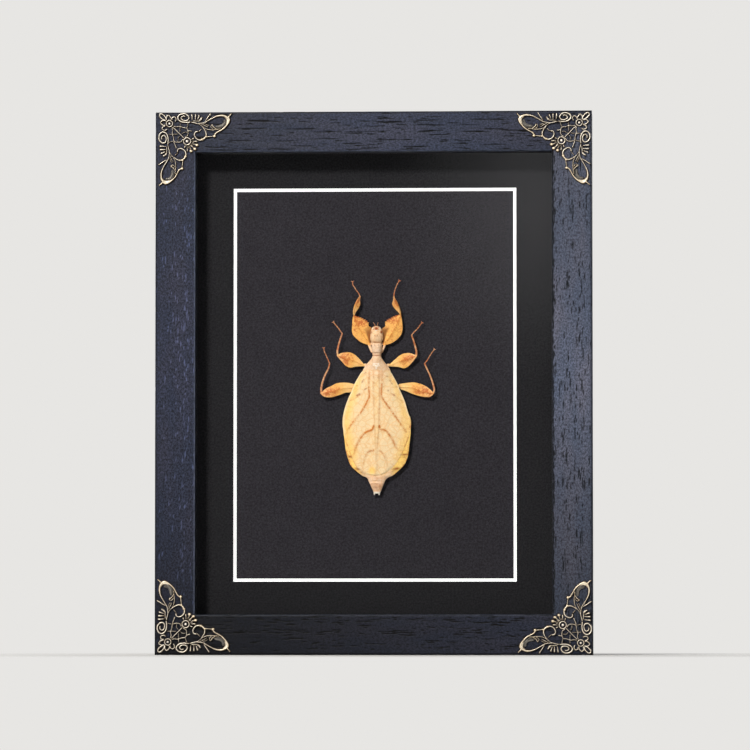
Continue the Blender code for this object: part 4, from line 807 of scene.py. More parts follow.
def moulding(node, look):
    """One mitred moulding with open grain cut into it, made along the foot and turned into its place."""
    turn, seed = look["turn"], look["seed"]
    length, reach = (FRAME_WIDTH, FRAME_HEIGHT) if turn in (0, 180) else (FRAME_HEIGHT, FRAME_WIDTH)
    section = moulding_section()
    inward, depth = section[:, 0], section[:, 1]
    steps = np.linalg.norm(section - np.roll(section, 1, axis=0), axis=1)
    steps[0] = 0.0
    around = np.cumsum(steps)
    tangent = unit(np.roll(section, -1, axis=0) - np.roll(section, 1, axis=0))
    shares = np.linspace(-1, 1, int(length / STATION) + 1)
    along = shares * length / 2
    pores = pore_map(along, around, look)
    height = SWELL_HEIGHT * swell_map(along, around, seed + 100) - GRAIN_DEPTH * pores
    hidden = (depth >= LIP_DEPTH + ARRIS) & (inward > BACK_ARRIS)
    height[:, hidden] *= 0.3
    half = length / 2 - inward - MITRE_GAP
    across = inward + tangent[:, 1] * height
    deep = depth - tangent[:, 0] * height
    rings = np.stack([shares[:, None] * half, FRONT_Y + deep, across - reach / 2], axis=-1)
    piece = skin(look["piece"], rings, stained_wood(look), sharp=70)
    # A painted highlight along the inner arris, patchy along its length
    inner_arris = np.exp(-((np.hypot(inward - FACE_WIDTH, depth) / (0.5 * ARRIS)) ** 2))
    # Painted shade along the outer arris
    outer_arris = np.exp(-((np.hypot(inward, depth) / (0.95 * ARRIS)) ** 2))
    patchy = 0.75 + 0.25 * np.sin(along / MM * 0.31 + seed) * np.sin(along / MM * 0.83)
    over = np.broadcast_to
    paint(
        piece, pore=np.clip(pores * 3.0 - look["clear"], 0, 1),
        worn=look["worn"] * patchy[:, None] * inner_arris,
        dusk=over(outer_arris, pores.shape),
        grain=np.stack([rings[:, :, 0] + seed * 7 * MM, over(around, pores.shape), 0 * pores], -1))
    piece.data.transform(Matrix.Translation((0, 0, MIDDLE_Z)) @ Matrix.Rotation(math.radians(turn), 4, "Y"))
    points = vectors_of(piece)
    place = points[:, 0] if turn in (0, 180) else points[:, 2] - MIDDLE_Z
    # Painted light and shade along the moulding, from one end to the other
    paint(piece, light=spread(look["light"], place / length + 0.5))
    return kept(piece, "stained_wood", node)


def clear_glass():
    return Finish("clear_glass").surface(
        Base_Color=(0.985, 0.995, 0.99, 1.0), Roughness=0.0, IOR=1.5, Transmission_Weight=1.0,
        Specular_IOR_Level=0.5)


def black_board():
    finish = Finish("black_board")
    flecks = finish.noise(0.9, 3.0, 0.8)
    colour = finish.mix(flecks.between(0.35, 0.65), shade(19, 19, 21), shade(39, 38, 40))
    colour = finish.toned(colour, 0.86 + 0.28 * finish.noise(6))
    bumps = finish.relief(flecks, 0.06, 0.6)
    return finish.surface(Base_Color=colour, Roughness=0.92, Normal=bumps, Specular_IOR_Level=0.1)


def cut_fibres(name, first, second, stretch, depth, strength, **sockets):
    """Cut board: fine fibres of two colours lie across it."""
    finish = Finish(name)
    fibres = finish.noise(0.5, 3.0, stretch=(1.0, stretch, 1.0))
    bumps = finish.relief(fibres, depth, strength)
    return finish.surface(Base_Color=finish.mix(fibres, first, second), Normal=bumps, **sockets)


def white_core():
    # A painted glow: the core gives off a little light of its own, so the mat's bevel stays white all round
    return cut_fibres(
        "white_core", (0.96, 0.96, 0.95, 1), (0.92, 0.92, 0.91, 1), 3.0, 0.02, 0.4, Roughness=0.85,
        Specular_IOR_Level=0.1, Emission_Color=(1.0, 1.0, 1.0, 1.0), Emission_Strength=0.5)


def black_spacer():
    return cut_fibres(
        "black_spacer", shade(34, 34, 36), shade(48, 48, 50), 4.0, 0.05, 0.5, Roughness=0.9,
        Specular_IOR_Level=0.15)


def mounting_card():
    """Charcoal card with a fine felted tooth and a faint violet cast."""
    finish = Finish("charcoal_card")
    tooth = finish.noise(0.9, 3.0, 0.8)
    specks = finish.noise(0.7, 1.0, 0.5, 4.0)
    clouds = finish.noise(14, 2.0, 0.5, 2.0)
    colour = finish.mix(tooth.between(0.35, 0.65), shade(31, 29, 32), shade(49, 47, 52))
    colour = finish.toned(colour, 0.70 + 0.25 * clouds + 0.42 * specks)
    bumps = finish.relief(tooth + specks * 0.4, 0.10, 0.7)
    return finish.surface(Base_Color=colour, Roughness=0.95, Normal=bumps, Specular_IOR_Level=0.1)


def hardboard():
    """Pressed wood fibre, brown and slightly glossy, with stray darker fibres."""
    finish = Finish("pressed_fibre")
    fibres = finish.noise(0.7, 4.0, 0.7, stretch=(1.0, 1.0, 0.35))
    crossing = finish.noise(0.7, 4.0, 0.7, 3.0, stretch=(0.35, 1.0, 1.0))
    clouds = finish.noise(22, 3.0, 0.5, 5.0)
    both = (fibres * 0.5 + crossing * 0.5).between(0.35, 0.68)
    colour = finish.toned(finish.mix(both, shade(92, 62, 38), shade(150, 112, 76)), 0.85 + 0.3 * clouds)
    bumps = finish.relief(fibres, 0.08, 0.6)
    return finish.surface(Base_Color=colour, Roughness=0.62 + 0.2 * fibres, Normal=bumps)


def zinc_plate():
    finish = Finish("zinc_plate")
    spangle = finish.noise(2.2, 2.0, 0.6)
    brushed = finish.noise(0.25, 2.0, stretch=(0.08, 1.0, 1.0))
    colour = finish.mix(spangle, shade(150, 152, 156), shade(186, 187, 190))
    bumps = finish.relief(brushed, 0.02, 0.5)
    return finish.surface(Base_Color=colour, Metallic=1.0, Roughness=0.3 + 0.2 * spangle, Normal=bumps)


def frame_and_layers():
    """The mouldings and the layers from the glass to the back. The mat shows its core where it slopes."""
    for node, look in PIECES_OF_WOOD.items():
        moulding(node, look)
    pane = dressed("glass_pane", clear_glass())
    pane.visible_shadow = False
    pane.visible_diffuse = False
    mat = dressed("window_mat", black_board())
    mat.data.materials.append(white_core())
    for face in mat.data.polygons:
        face.material_index = int(0.2 < abs(face.normal.y) < 0.9)
    dressed("mount_card", mounting_card())
    strip = black_spacer()
    for side in ("top", "bottom", "left", "right"):
        dressed(f"spacer_{side}", strip)
    dressed("back_panel", hardboard())
    steel = zinc_plate()
    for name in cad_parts:
        if name.startswith(("back_tab", "hanger")):
            dressed(name, steel)


def antique_brass():
    """Cast brass darkened by patina in its hollows and by painted shade on its flanks, its crests rubbed and
    painted bright.
    """
    finish = Finish("antique_brass")
    crest = finish.painted("crest")
    mottle = finish.noise(1.1, 3.0, 0.6)
    # Part rubbed wear and part painted highlight at the bright end, patina and painted shade at the dark end
    worn = crest + 0.3 * (mottle - 0.5)
    bright = finish.mix(finish.painted("gilt") * 0.45, shade(255, 248, 232), shade(230, 204, 158))
    colour = finish.mix(worn.between(0.0, 0.35), shade(28, 19, 12), shade(128, 100, 66))
    colour = finish.mix(worn.between(0.42, 0.95), colour, bright)
    colour = finish.mix(finish.painted("pewter") * (0.5 + 0.8 * mottle), colour, shade(140, 136, 130))
    # Each plate darkened or lightened by its painted light and shade
    colour = finish.toned(colour, finish.painted("polish"))
    bumps = finish.relief(finish.noise(0.16) + mottle, 0.03, 0.5)
    roughness = 0.42 - 0.12 * crest + 0.1 * mottle
    return finish.surface(Base_Color=colour, Metallic=0.6 - 0.4 * crest, Roughness=roughness, Normal=bumps)


def pin_brass():
    finish = Finish("pin_brass")
    mottle = finish.noise(0.4, 2.0, 0.6)
    bright = finish.mix(mottle, shade(250, 236, 218), shade(255, 250, 244))
    # A painted highlight on the top of each pin head, fading to painted shade at its rim
    colour = finish.mix(finish.painted("crest"), shade(62, 40, 26), bright)
    bumps = finish.relief(mottle, 0.02, 0.4)
    return finish.surface(Base_Color=colour, Metallic=0.25, Roughness=0.28 + 0.1 * mottle, Normal=bumps)


def stroke_rings(path, half, rise, base):
    """The half-round section of a cast line, set at every point of its path."""
    side = np.array([-1.0, -1.0, -0.92, -0.7, -0.38, 0.0, 0.38, 0.7, 0.92, 1.0, 1.0])
    up = np.array([0.0, 0.22, 0.47, 0.75, 0.94, 1.0, 0.94, 0.75, 0.47, 0.22, 0.0])
    tangent = unit(np.gradient(path, axis=0))
    across = np.stack([-tangent[:, 1], tangent[:, 0]], axis=1)
    flat = path[:, None, :] + across[:, None, :] * (half[:, None] * side)[:, :, None]
    height = base + (rise[:, None] - base) * up
    return np.stack([flat[:, :, 0], -height, flat[:, :, 1]], axis=-1) * MM


def stroke(widths, rise, points, base):
    """A raised line of the casting, rounded at both ends."""
    length = path_length(points)
    stations = max(10, int(length / STROKE_STATION))
    share = np.linspace(0, 1, stations)
    half = spread(np.atleast_1d(widths), share) / 2
    rounding = 0.3 + 0.7 * round_ends(share, length, half)
    half = half * SPREAD * rounding * (1 + 0.05 * np.sin(share * length * 2.3 + points[0][0]))
    rise = rise * (0.4 + 0.6 * rounding)
    return skin("stroke", stroke_rings(smooth_path(points, stations), half, rise, base))


def circle(middle, radius, count):
    angles = np.linspace(0, 2 * math.pi, count + 1)[:-1]
    return np.stack([middle[0] + radius * np.cos(angles), middle[1] + radius * np.sin(angles)], axis=1)


def ring(middle, radius, width, rise, base):
    path = circle(middle, radius, 40)
    closed = np.concatenate([path[-1:], path, path[:1]])
    rings = stroke_rings(closed, np.full(len(closed), width / 2), np.full(len(closed), rise), base)[1:-1]
    return skin("ring", rings, closed_loop=True)


def filigree():
    """One corner plate, lying at the left end of the foot. No two strokes start at quite the same depth."""
    strokes = [*MIDDLE_STROKES, UPRIGHT_STROKE, FOOT_STROKE]
    for width, rise, points in ARM_STROKES:
        strokes.append((width, rise, [(u, v + FOOT_LIFT * max(0.0, 1 - v / LIFT_REACH)) for u, v in points]))
        strokes.append((width, rise, [(v, u) for u, v in points]))
    parts = [stroke(*line, PLATE_BASE - DEPTH_STEP * number) for number, line in enumerate(strokes)]
    parts += [ring(*sizes, PLATE_BASE - 0.05) for sizes in PLATE_RINGS]
    knobs = MIDDLE_KNOBS + ARM_KNOBS + [((v, u), radius, rise) for (u, v), radius, rise in ARM_KNOBS]
    for number, ((u, v), radius, rise) in enumerate(knobs):
        path = [(u - radius, v), (u, v), (u + radius, v)]
        parts.append(stroke(2 * radius, rise, path, PLATE_BASE - 0.06 - DEPTH_STEP * number))
    plate = united("filigree", parts, antique_brass())
    points = vectors_of(plate) / MM
    facing = -vectors_of(plate, "normal")[:, 1]
    gilt = ramp(np.hypot(points[:, 0], points[:, 2]), 22, 32)
    for (u, v), radius, _ in knobs:
        off = np.hypot(points[:, 0] - u, points[:, 2] - v)
        gilt = np.maximum(gilt, 1.3 * fall(off, radius, radius + 0.3))
    leaf = np.minimum.reduce([
        np.hypot(points[:, a] - u, points[:, b] - v) for a, b in ((0, 2), (2, 0)) for u, v in LEAF])
    # Crests that stand high and face the front are partly rubbed and partly a painted highlight
    paint(
        plate, crest=np.clip((0.05 - points[:, 1]) / 0.7, 0, 1) * np.clip((facing - 0.56) / 0.42, 0, 1),
        gilt=gilt, pewter=fall(leaf, 1.0, 1.5) * fall(-points[:, 1], 0.5, 0.6))
    return plate


def pin(name, finish, middle, radius):
    """A domed pin head."""
    rings = []
    for step in np.linspace(0.02, 1, 9):
        height = 0.35 + (PIN_HEIGHT - 0.35) * math.cos(step * math.pi / 2)
        around = circle(middle, radius * math.sin(step * math.pi / 2), 24)
        rings.append([(x * MM, -height * MM, z * MM) for x, z in around])
    rings.append([(x, -PLATE_BASE * MM, z) for x, _, z in rings[-1]])
    return skin(name, rings, finish)


def corner_ornaments():
    """A plate and two pins at each corner. The plates above are mirror images of the ones below."""
    pattern, metal = filigree(), pin_brass()
    for corner, look in PLATES.items():
        (side, level), (right, up) = look["corner"], look["shift"]
        place = Matrix.Translation((
            side * FRAME_WIDTH / 2 + right * MM, FRONT_Y - GAP,
            MIDDLE_Z + level * FRAME_HEIGHT / 2 + up * MM))
        mesh = pattern.data.copy()
        mesh.transform(place @ Matrix.Diagonal((-side, 1, -level, 1)))
        if side != level:
            mesh.flip_normals()
        plate = linked(f"filigree_{corner}", mesh)
        # This plate's painted light and shade
        paint(plate, polish=look["polish"])
        kept(plate, "antique_brass", f"corner_{corner}")
        for part, ((across, along), radius) in zip(("outer", "inner"), PIN_HEADS):
            middle = (-side * across, -level * along)
            head = pin(f"pin_head_{corner}_{part}", metal, middle, radius)
            points = vectors_of(head) / MM
            off = np.hypot(points[:, 0] - middle[0], points[:, 2] - middle[1])
            # Painted highlight in the middle of the dome, painted shade at its rim
            paint(head, crest=fall(off / radius, 0.5, 1.0))
            head.data.transform(place)
            kept(head, "pin_brass", f"pin_{corner}_{part}")
    bpy.data.objects.remove(pattern)


def on_card(x, z, height):
    """Points of the insect, given in its own millimetres, in the frame's metres."""
    x, z, height = np.broadcast_arrays(x, z, height)
    return np.stack([INSECT_X + x * MM, CARD_Y - height * MM, INSECT_Z + z * MM], axis=-1)


def own_place(points):
    """Points of the insect in its own millimetres: across and along."""
    return (points[:, 0] - INSECT_X) / MM, (points[:, 2] - INSECT_Z) / MM


def gaps(x, z, path):
    """The distance of every point from every point of a path."""
    path = np.asarray(path, float)
    return np.hypot(x[:, None] - path[:, 0], z[:, None] - path[:, 1])


def near_line(x, z, path, strengths, width):
    """A soft line along a path: 1 on it and 0 a width away, times its strength there."""
    line = smooth_path(path, max(8, int(path_length(path) / 0.3)))
    strength = spread(strengths, np.linspace(0, 1, len(line)))
    gap = gaps(x, z, line)
    nearest = gap.argmin(axis=1)
    return strength[nearest] * np.exp(-((gap[np.arange(len(x)), nearest] / (0.6 * width)) ** 2))


def near_lines(x, z, widening=1.0):
    """The wings' veins as soft lines."""
    found = np.zeros(len(x))
    for width, strengths, path in VEINS:
        found = np.maximum(found, near_line(x, z, path, strengths, width * widening))
    return found


def near_marks(x, z, marks):
    found = np.zeros(len(x))
    for middle, along, length, width, slope, dark in marks:
        turn = math.radians(slope)
        u = (x - middle) * math.cos(turn) + (z - along) * math.sin(turn)
        v = (z - along) * math.cos(turn) - (x - middle) * math.sin(turn)
        found = np.maximum(found, dark * np.exp(-((u / length) ** 2 + (v / width) ** 2)))
    return found


def dried_skin(name, pale, golden, net_depth):
    """Dry cuticle like a yellowed leaf: pale, golden at the edges, with brown veins and marks."""
    finish = Finish(name)
    at = finish.place()
    clouds = finish.noise(3.2, 3.0, 0.6)
    freckles = finish.noise(1.3, 2.0, 0.7, 6.0)
    grain = finish.noise(0.5, 3.0, 0.7)
    drift = finish.node("TexNoise", None, {"Vector": at, "Scale": DRIFT_SCALE}, "Color")
    drifted = finish.vector("ADD", at, finish.vector("MULTIPLY", drift, NET_DRIFT))
    flat = finish.vector("MULTIPLY", drifted, (1.0, 0.3, 1.0))
    net = 1 - finish.cells(flat, 3.0).between(0.0, 0.12)
    fine_net = 1 - finish.cells(flat, 1.2).between(0.0, 0.16)
    vein, burnt = finish.painted("vein"), finish.painted("burnt")
    blotches = burnt + burnt.between(0.0, 0.2) * (2.8 * (freckles - 0.5) + 0.2 * fine_net)
    colour = pale
    for share, over in [
        ((finish.painted("gold") * 1.1 + 0.7 * (clouds - 0.5)).between(0.0, 1.0), golden),
        (finish.painted("flesh"), shade(243, 205, 170)),
        (net * 0.33 + fine_net * 0.1, shade(228, 158, 74)),
        (blotches.between(0.15, 1.05) * 0.9, shade(190, 92, 40)),
        (vein * (0.3 + 0.9 * freckles.between(0.36, 0.6)), shade(198, 112, 14)),
        (finish.painted("mark") * (0.4 + 1.1 * freckles), shade(156, 70, 14)),
        (finish.painted("umber"), shade(156, 100, 50)),
        (finish.painted("pearl"), shade(255, 246, 230)),
    ]:
        colour = finish.mix(share, colour, over)
    colour = finish.toned(colour, 0.86 + 0.16 * grain + 0.12 * freckles)
    bumps = finish.relief(grain * 0.6 + net * 0.5 + fine_net * 0.3 + clouds * 0.5, net_depth, 0.7)
    roughness = 0.62 - 0.1 * vein
    return finish.surface(Base_Color=colour, Roughness=roughness, Normal=bumps, Specular_IOR_Level=0.25)


def sections_at(z):
    """The body's section at places along its axis, drawn smoothly through the table."""
    return [np.interp(z, BODY_PROFILE[:, 0], BODY_PROFILE[:, k]) for k in range(1, 7)]


def body_relief(x, z):
    """Small forms of the head and thorax, in millimetres off the back."""
    lift = np.zeros_like(x)
    for across, along, reach, high in BODY_BUMPS:
        lift += high * np.exp(-(((x - across) ** 2 + (z - along) ** 2) / reach**2))
    for along, half, deep in BODY_CREASES:
        bend = along - 0.12 * x**2 / half
        lift -= deep * np.exp(-(((z - bend) / 0.22) ** 2)) * (np.abs(x) < half)
    lift -= 0.15 * np.exp(-((x / 0.25) ** 2)) * ramp(z, 17.0, 18.0) * fall(z, 20.0, 21.0)
    return lift


def body_rings(rings=380, sides=110):
    table = np.array(BODY_SECTIONS, float)[::-1]
    along = np.cumsum(np.concatenate([[0.0], 0.5 + np.abs(np.diff(table[:, 0]))]))
    z = np.interp(np.linspace(0, along[-1], rings), along, table[:, 0])
    left, right, rim, back, belly, sharpness = (values[:, None] for values in sections_at(z))
    angle = (np.arange(sides) + 0.5) * 2 * math.pi / sides
    across, rise = np.cos(angle), np.abs(np.sin(angle)) ** sharpness
    x = across * np.where(across > 0, right, left)
    front = np.sin(angle) > 0
    edge = RIM_THICKNESS * np.tanh(np.sin(angle) * 14)
    height = np.where(front, rim + (back - rim) * rise, rim - (rim - belly) * rise) + edge
    z = np.broadcast_to(z[:, None], x.shape)
    wave = 0.04 * np.sin(z * 1.9) * ramp(-z, 40.5, 43.0)
    relief = np.clip(np.sin(angle), 0, 1) ** 0.5 * (body_relief(x, z) + wave)
    return x, z, height + np.where(front, relief, 0.0)


def limb_tube(name, path, radii, count=40, sides=14, flat=0.85, joints=0, finish=None):
    """A round or flattened segment along a path of (across, along, height), with swellings at its joints."""
    line = smooth_path(path, count)
    share = np.linspace(0, 1, count)
    radius = spread(radii, share)
    if joints:
        radius = radius * (0.8 + 0.35 * np.abs(np.cos(share * math.pi * joints)) ** 3)
    radius = radius * (0.25 + 0.75 * round_ends(share, path_length(line), radius))
    tangent = unit(np.gradient(line, axis=0))
    side = unit(np.stack([-tangent[:, 1], tangent[:, 0], 0 * share], axis=1))
    up = np.cross(tangent, side)
    angle = (np.arange(sides) * 2 * math.pi / sides)[:, None]
    around = side[:, None] * np.cos(angle) + flat * up[:, None] * np.sin(angle)
    rings = line[:, None] + radius[:, None, None] * around
    return skin(name, on_card(rings[..., 0], rings[..., 1], rings[..., 2]), finish)


def insect_body(finish):
    """Head, thorax and abdomen, with the two short feelers of the tail."""
    parts = [skin("trunk", on_card(*body_rings()))]
    for foot, tip in TAIL_FEELERS:
        path = [(foot, -48.0, 2.4), ((foot + tip) / 2, -48.9, 2.35), (tip, -49.8, 2.2)]
        parts.append(limb_tube("tail_tip", path, (0.45, 0.4, 0.22), 14))
    body = united("insect_trunk", parts, finish, 70)
    x, z = own_place(vectors_of(body))
    left, right, *_ = sections_at(z)
    outward = np.abs(x) / np.where(x < 0, left, right)
    head = ramp(z, 21.0, 21.8)
    tail = ramp(-z, 39.0, 42.0)
    thorax = ramp(z, 7.0, 9.5) * (1 - head)
    pronotum = ramp(z, 16.3, 17.2) * fall(z, 20.6, 21.2)
    pale = 0.12 * pronotum * (1 - 0.6 * ramp(outward, 0.7, 1.0)) + 0.08 * thorax + 0.9 * ramp(-z, 47.9, 48.7)
    last_ring = 0.4 * ramp(-z, 44.5, 45.2) * fall(-z, 47.4, 48.4) * (1 - 0.7 * ramp(outward, 0.6, 1.0))
    hollow = 0.3 * near_marks(x, z, HOLLOWS)
    flesh = 0.75 * thorax + 0.6 * head + 0.95 * tail + near_marks(x, z, PINK_FLANKS)
    gold = np.clip(0.5 + 0.6 * ramp(outward, 0.5, 0.9), 0, 1)
    paint(
        body, gold=gold * (1 - thorax) * (1 - tail) * (1 - head), flesh=np.clip(flesh, 0, 1),
        pearl=np.maximum(pale, np.clip(near_marks(x, z, PEARLS), 0, 1)),
        burnt=0.4 * ramp(outward, 0.9, 1.0) * ramp(-z, 20, 30) * (1 - tail) + 0.25 * ramp(z, 27.6, 28.8),
        vein=0.0, mark=near_marks(x, z, HEAD_MARKS + BELLY_MARKS),
        umber=last_ring + 0.17 * pronotum + 0.08 * thorax + 0.12 * head + hollow)
    return kept(body, "insect_body", "insect_body")


def wing_relief(x, z):
    across, along = x.ravel(), z.ravel()
    swell = 0.10 * np.sin(across * 0.55 + 1.0) * np.sin(along * 0.33)
    swell += 0.05 * np.sin(across * 1.3 - along * 0.9)
    return (VEIN_HEIGHT * near_lines(across, along, 1.3) + swell).reshape(x.shape)


def forewing(edge, side, finish, rows=220, columns=70):
    """A forewing: a thin veined shell lying on the back of the abdomen. The left one laps over the right."""
    outline = smooth_path(edge, 400)[::-1]
    lap = np.array(WING_LAP, float)[::-1]
    z = np.linspace(WING_TIP, WING_TOP, rows)
    reach = np.abs(np.interp(z, outline[:, 1], outline[:, 0]))
    inner = side * np.interp(z, lap[:, 0], lap[:, 1 if side < 0 else 2])
    across = np.linspace(0, 1, columns)
    x = side * (inner[:, None] + (reach - inner)[:, None] * across)
    z = np.broadcast_to(z[:, None], x.shape)
    left, right, rim, back, _, _ = sections_at(z)
    widest = np.maximum(reach[:, None], np.where(side < 0, left, right)) + 0.3
    height = rim + (back - rim) * (1 - (x / widest) ** 2) + WING_CLEARANCE + wing_relief(x, z)
    sunk = ramp(z, 6.5, 9.2)
    thin = (0.10 + 0.16 * np.clip((1 - across) * 6, 0, 1)) * (1 - 0.6 * sunk)
    height = height - SHOULDER_SINK * sunk
    if side < 0:
        height = height + LAP_RISE * ramp(x, -3.2, -1.2) * (1 - sunk)
    top, bottom = on_card(x, z, height + thin), on_card(x, z, height)
    index = np.arange(2 * rows * columns).reshape(2, rows, columns)
    corners = [index[:, :-1, :-1], index[:, :-1, 1:], index[:, 1:, 1:], index[:, 1:, :-1]]
    faces = [
        np.stack([corner[0] for corner in corners[::-1]], -1),
        np.stack([corner[1] for corner in corners], -1)]
    for near, far in [index[:, 0, :], index[:, -1, ::-1], index[:, ::-1, 0], index[:, :, -1]]:
        faces.append(np.stack([near[:-1], near[1:], far[1:], far[:-1]], -1))
    faces = np.concatenate([part.reshape(-1, 4) for part in faces])
    points = np.concatenate([top.reshape(-1, 3), bottom.reshape(-1, 3)])
    hand = "left" if side < 0 else "right"
    wing = mesh_piece(f"{hand}_forewing", points, turned_outwards(points, faces), finish, 70)
    x, z = own_place(points)
    outer = np.abs(x) / np.abs(np.interp(z, outline[:, 1], outline[:, 0]))
    shoulder = ramp(z, 2.0, 9.0)
    blob = np.exp(-(((x + 2.0) ** 2 + (z + 38.3) ** 2) / 1.9**2))
    rim = ramp(outer, 0.9, 1.0)
    keel = fall(np.abs(x - 0.15), 0.9, 1.4) * fall(-z, 24, 34)
    # The right wing's margin is less golden than the left's: painted light that lightens the side turned from
    # the key light
    gold = np.where(x < 0, 0.75, 0.6) * ramp(outer, 0.5, 0.95) * fall(-z, 30, 38) + 0.22 * keel + blob
    vein = 0.3 * np.exp(-(((np.abs(x - 0.15) - 1.2 + 0.02 * np.abs(z)) / 0.25) ** 2)) * fall(-z, 22, 34)
    vein = np.maximum(vein, 0.5 * ramp(outer, 0.95, 0.99) * ramp(-z, 22, 26) * fall(-z, 37, 39.5))
    vein = np.maximum(vein, near_lines(x, z))
    for column in (1, 2):
        path = [(row[column], row[0]) for row in WING_LAP]
        vein = np.maximum(vein, near_line(x, z, path, (0.4, 0.5, 0.4, 0.12), 0.45))
    paint(
        wing, gold=np.clip(gold, 0, 1) * (1 - 0.6 * shoulder),
        flesh=0.7 * shoulder * fall(np.abs(x), 2.5, 6.0) + 0.12,
        pearl=0.35 * rim * fall(-z, 18, 24) * (1 - ramp(x, 10, 14) * ramp(-z, 10, 16)),
        burnt=0.3 * rim * ramp(x, 10, 14) * ramp(-z, 12, 20), vein=vein,
        mark=near_marks(x, z, MARKS + BELLY_MARKS), umber=0.0)
    return kept(wing, "insect_wing", f"forewing_{hand}")


def blade(shape, stations=96, columns=13):
    """A leafy segment of a leg: thick along its rib and thin at both edges. Its inner edge may be toothed.

    With it come its points on the card, how far each is from the rib (-1 to 1) and how far along it (0 to 1).
    """
    outer, rib, inner = (smooth_path(shape[line], stations) for line in ("outer", "rib", "inner"))
    share = np.linspace(0, 1, stations)
    middle = np.interp(share, (0.0, 0.5, 1.0), shape["heights"])
    if shape["toothed"]:
        saw = np.abs((share * TEETH) % 1.0 - 0.35)
        toothed = ramp(share, 0.52, 0.58) * fall(share, 0.93, 0.98)
        inner = inner + unit(inner - rib) * (TOOTH_LENGTH * (0.4 - saw) * toothed)[:, None]
    t = np.linspace(0, 1, columns)
    place = np.concatenate([t - 1, t[1:]])
    t = t[:, None]
    halves = [outer[:, None] + (rib - outer)[:, None] * t, (rib[:, None] + (inner - rib)[:, None] * t)[:, 1:]]
    flat = np.concatenate(halves, axis=1)
    column = share[:, None]
    ends = np.sqrt(np.clip(np.minimum(share, 1 - share) * 14, 0.02, 1))[:, None]
    half = (0.13 + 0.34 * np.exp(-((place / 0.2) ** 2)) + 0.05 * (1 - place**2)) * ends
    curl = 0.35 * place**2 * np.sin(math.pi * column)
    ripple = 0.05 * np.sin(column * 40 + np.abs(place) * 7) * np.abs(place)
    height = middle[:, None] - curl + ripple
    if shape["toothed"]:
        height = height + shape["fold"] * (ramp(place, 0.45, 0.8) * fall(column, 0.42, 0.52))
    front = on_card(flat[..., 0], flat[..., 1], height + half)
    behind = on_card(flat[..., 0], flat[..., 1], height - half)[:, ::-1]
    made = skin("blade", np.concatenate([front, behind], axis=1))
    return made, flat.reshape(-1, 2), np.tile(place, stations), np.repeat(share, len(place))


def claws(end, direction, height):
    """Two small curved claws and the pad between them."""
    along = direction / np.linalg.norm(direction)
    side = np.array([-along[1], along[0]])
    made = []
    for turn in (-1, 1):
        path = [
            (*(end + along * reach + side * turn * apart), height + rise) for reach, apart, rise in (
                (-0.1, 0.05, 0.0), (0.3, 0.25, 0.1), (0.55, 0.5, -0.1), (0.6, 0.7, -0.4))]
        made.append(limb_tube("claw", path, (0.17, 0.15, 0.07), 16, 8))
    steps = ((-0.15, 0.0), (0.2, 0.0), (0.5, -0.1))
    path = [(*(end + along * reach), height + rise) for reach, rise in steps]
    return [*made, limb_tube("pad", path, (0.26, 0.3, 0.26), 12, 10)]


def raised(path, heights):
    """A path on the card with heights that run evenly from the first one given to the last."""
    return [(*point, high) for point, high in zip(path, np.linspace(*heights, len(path)))]


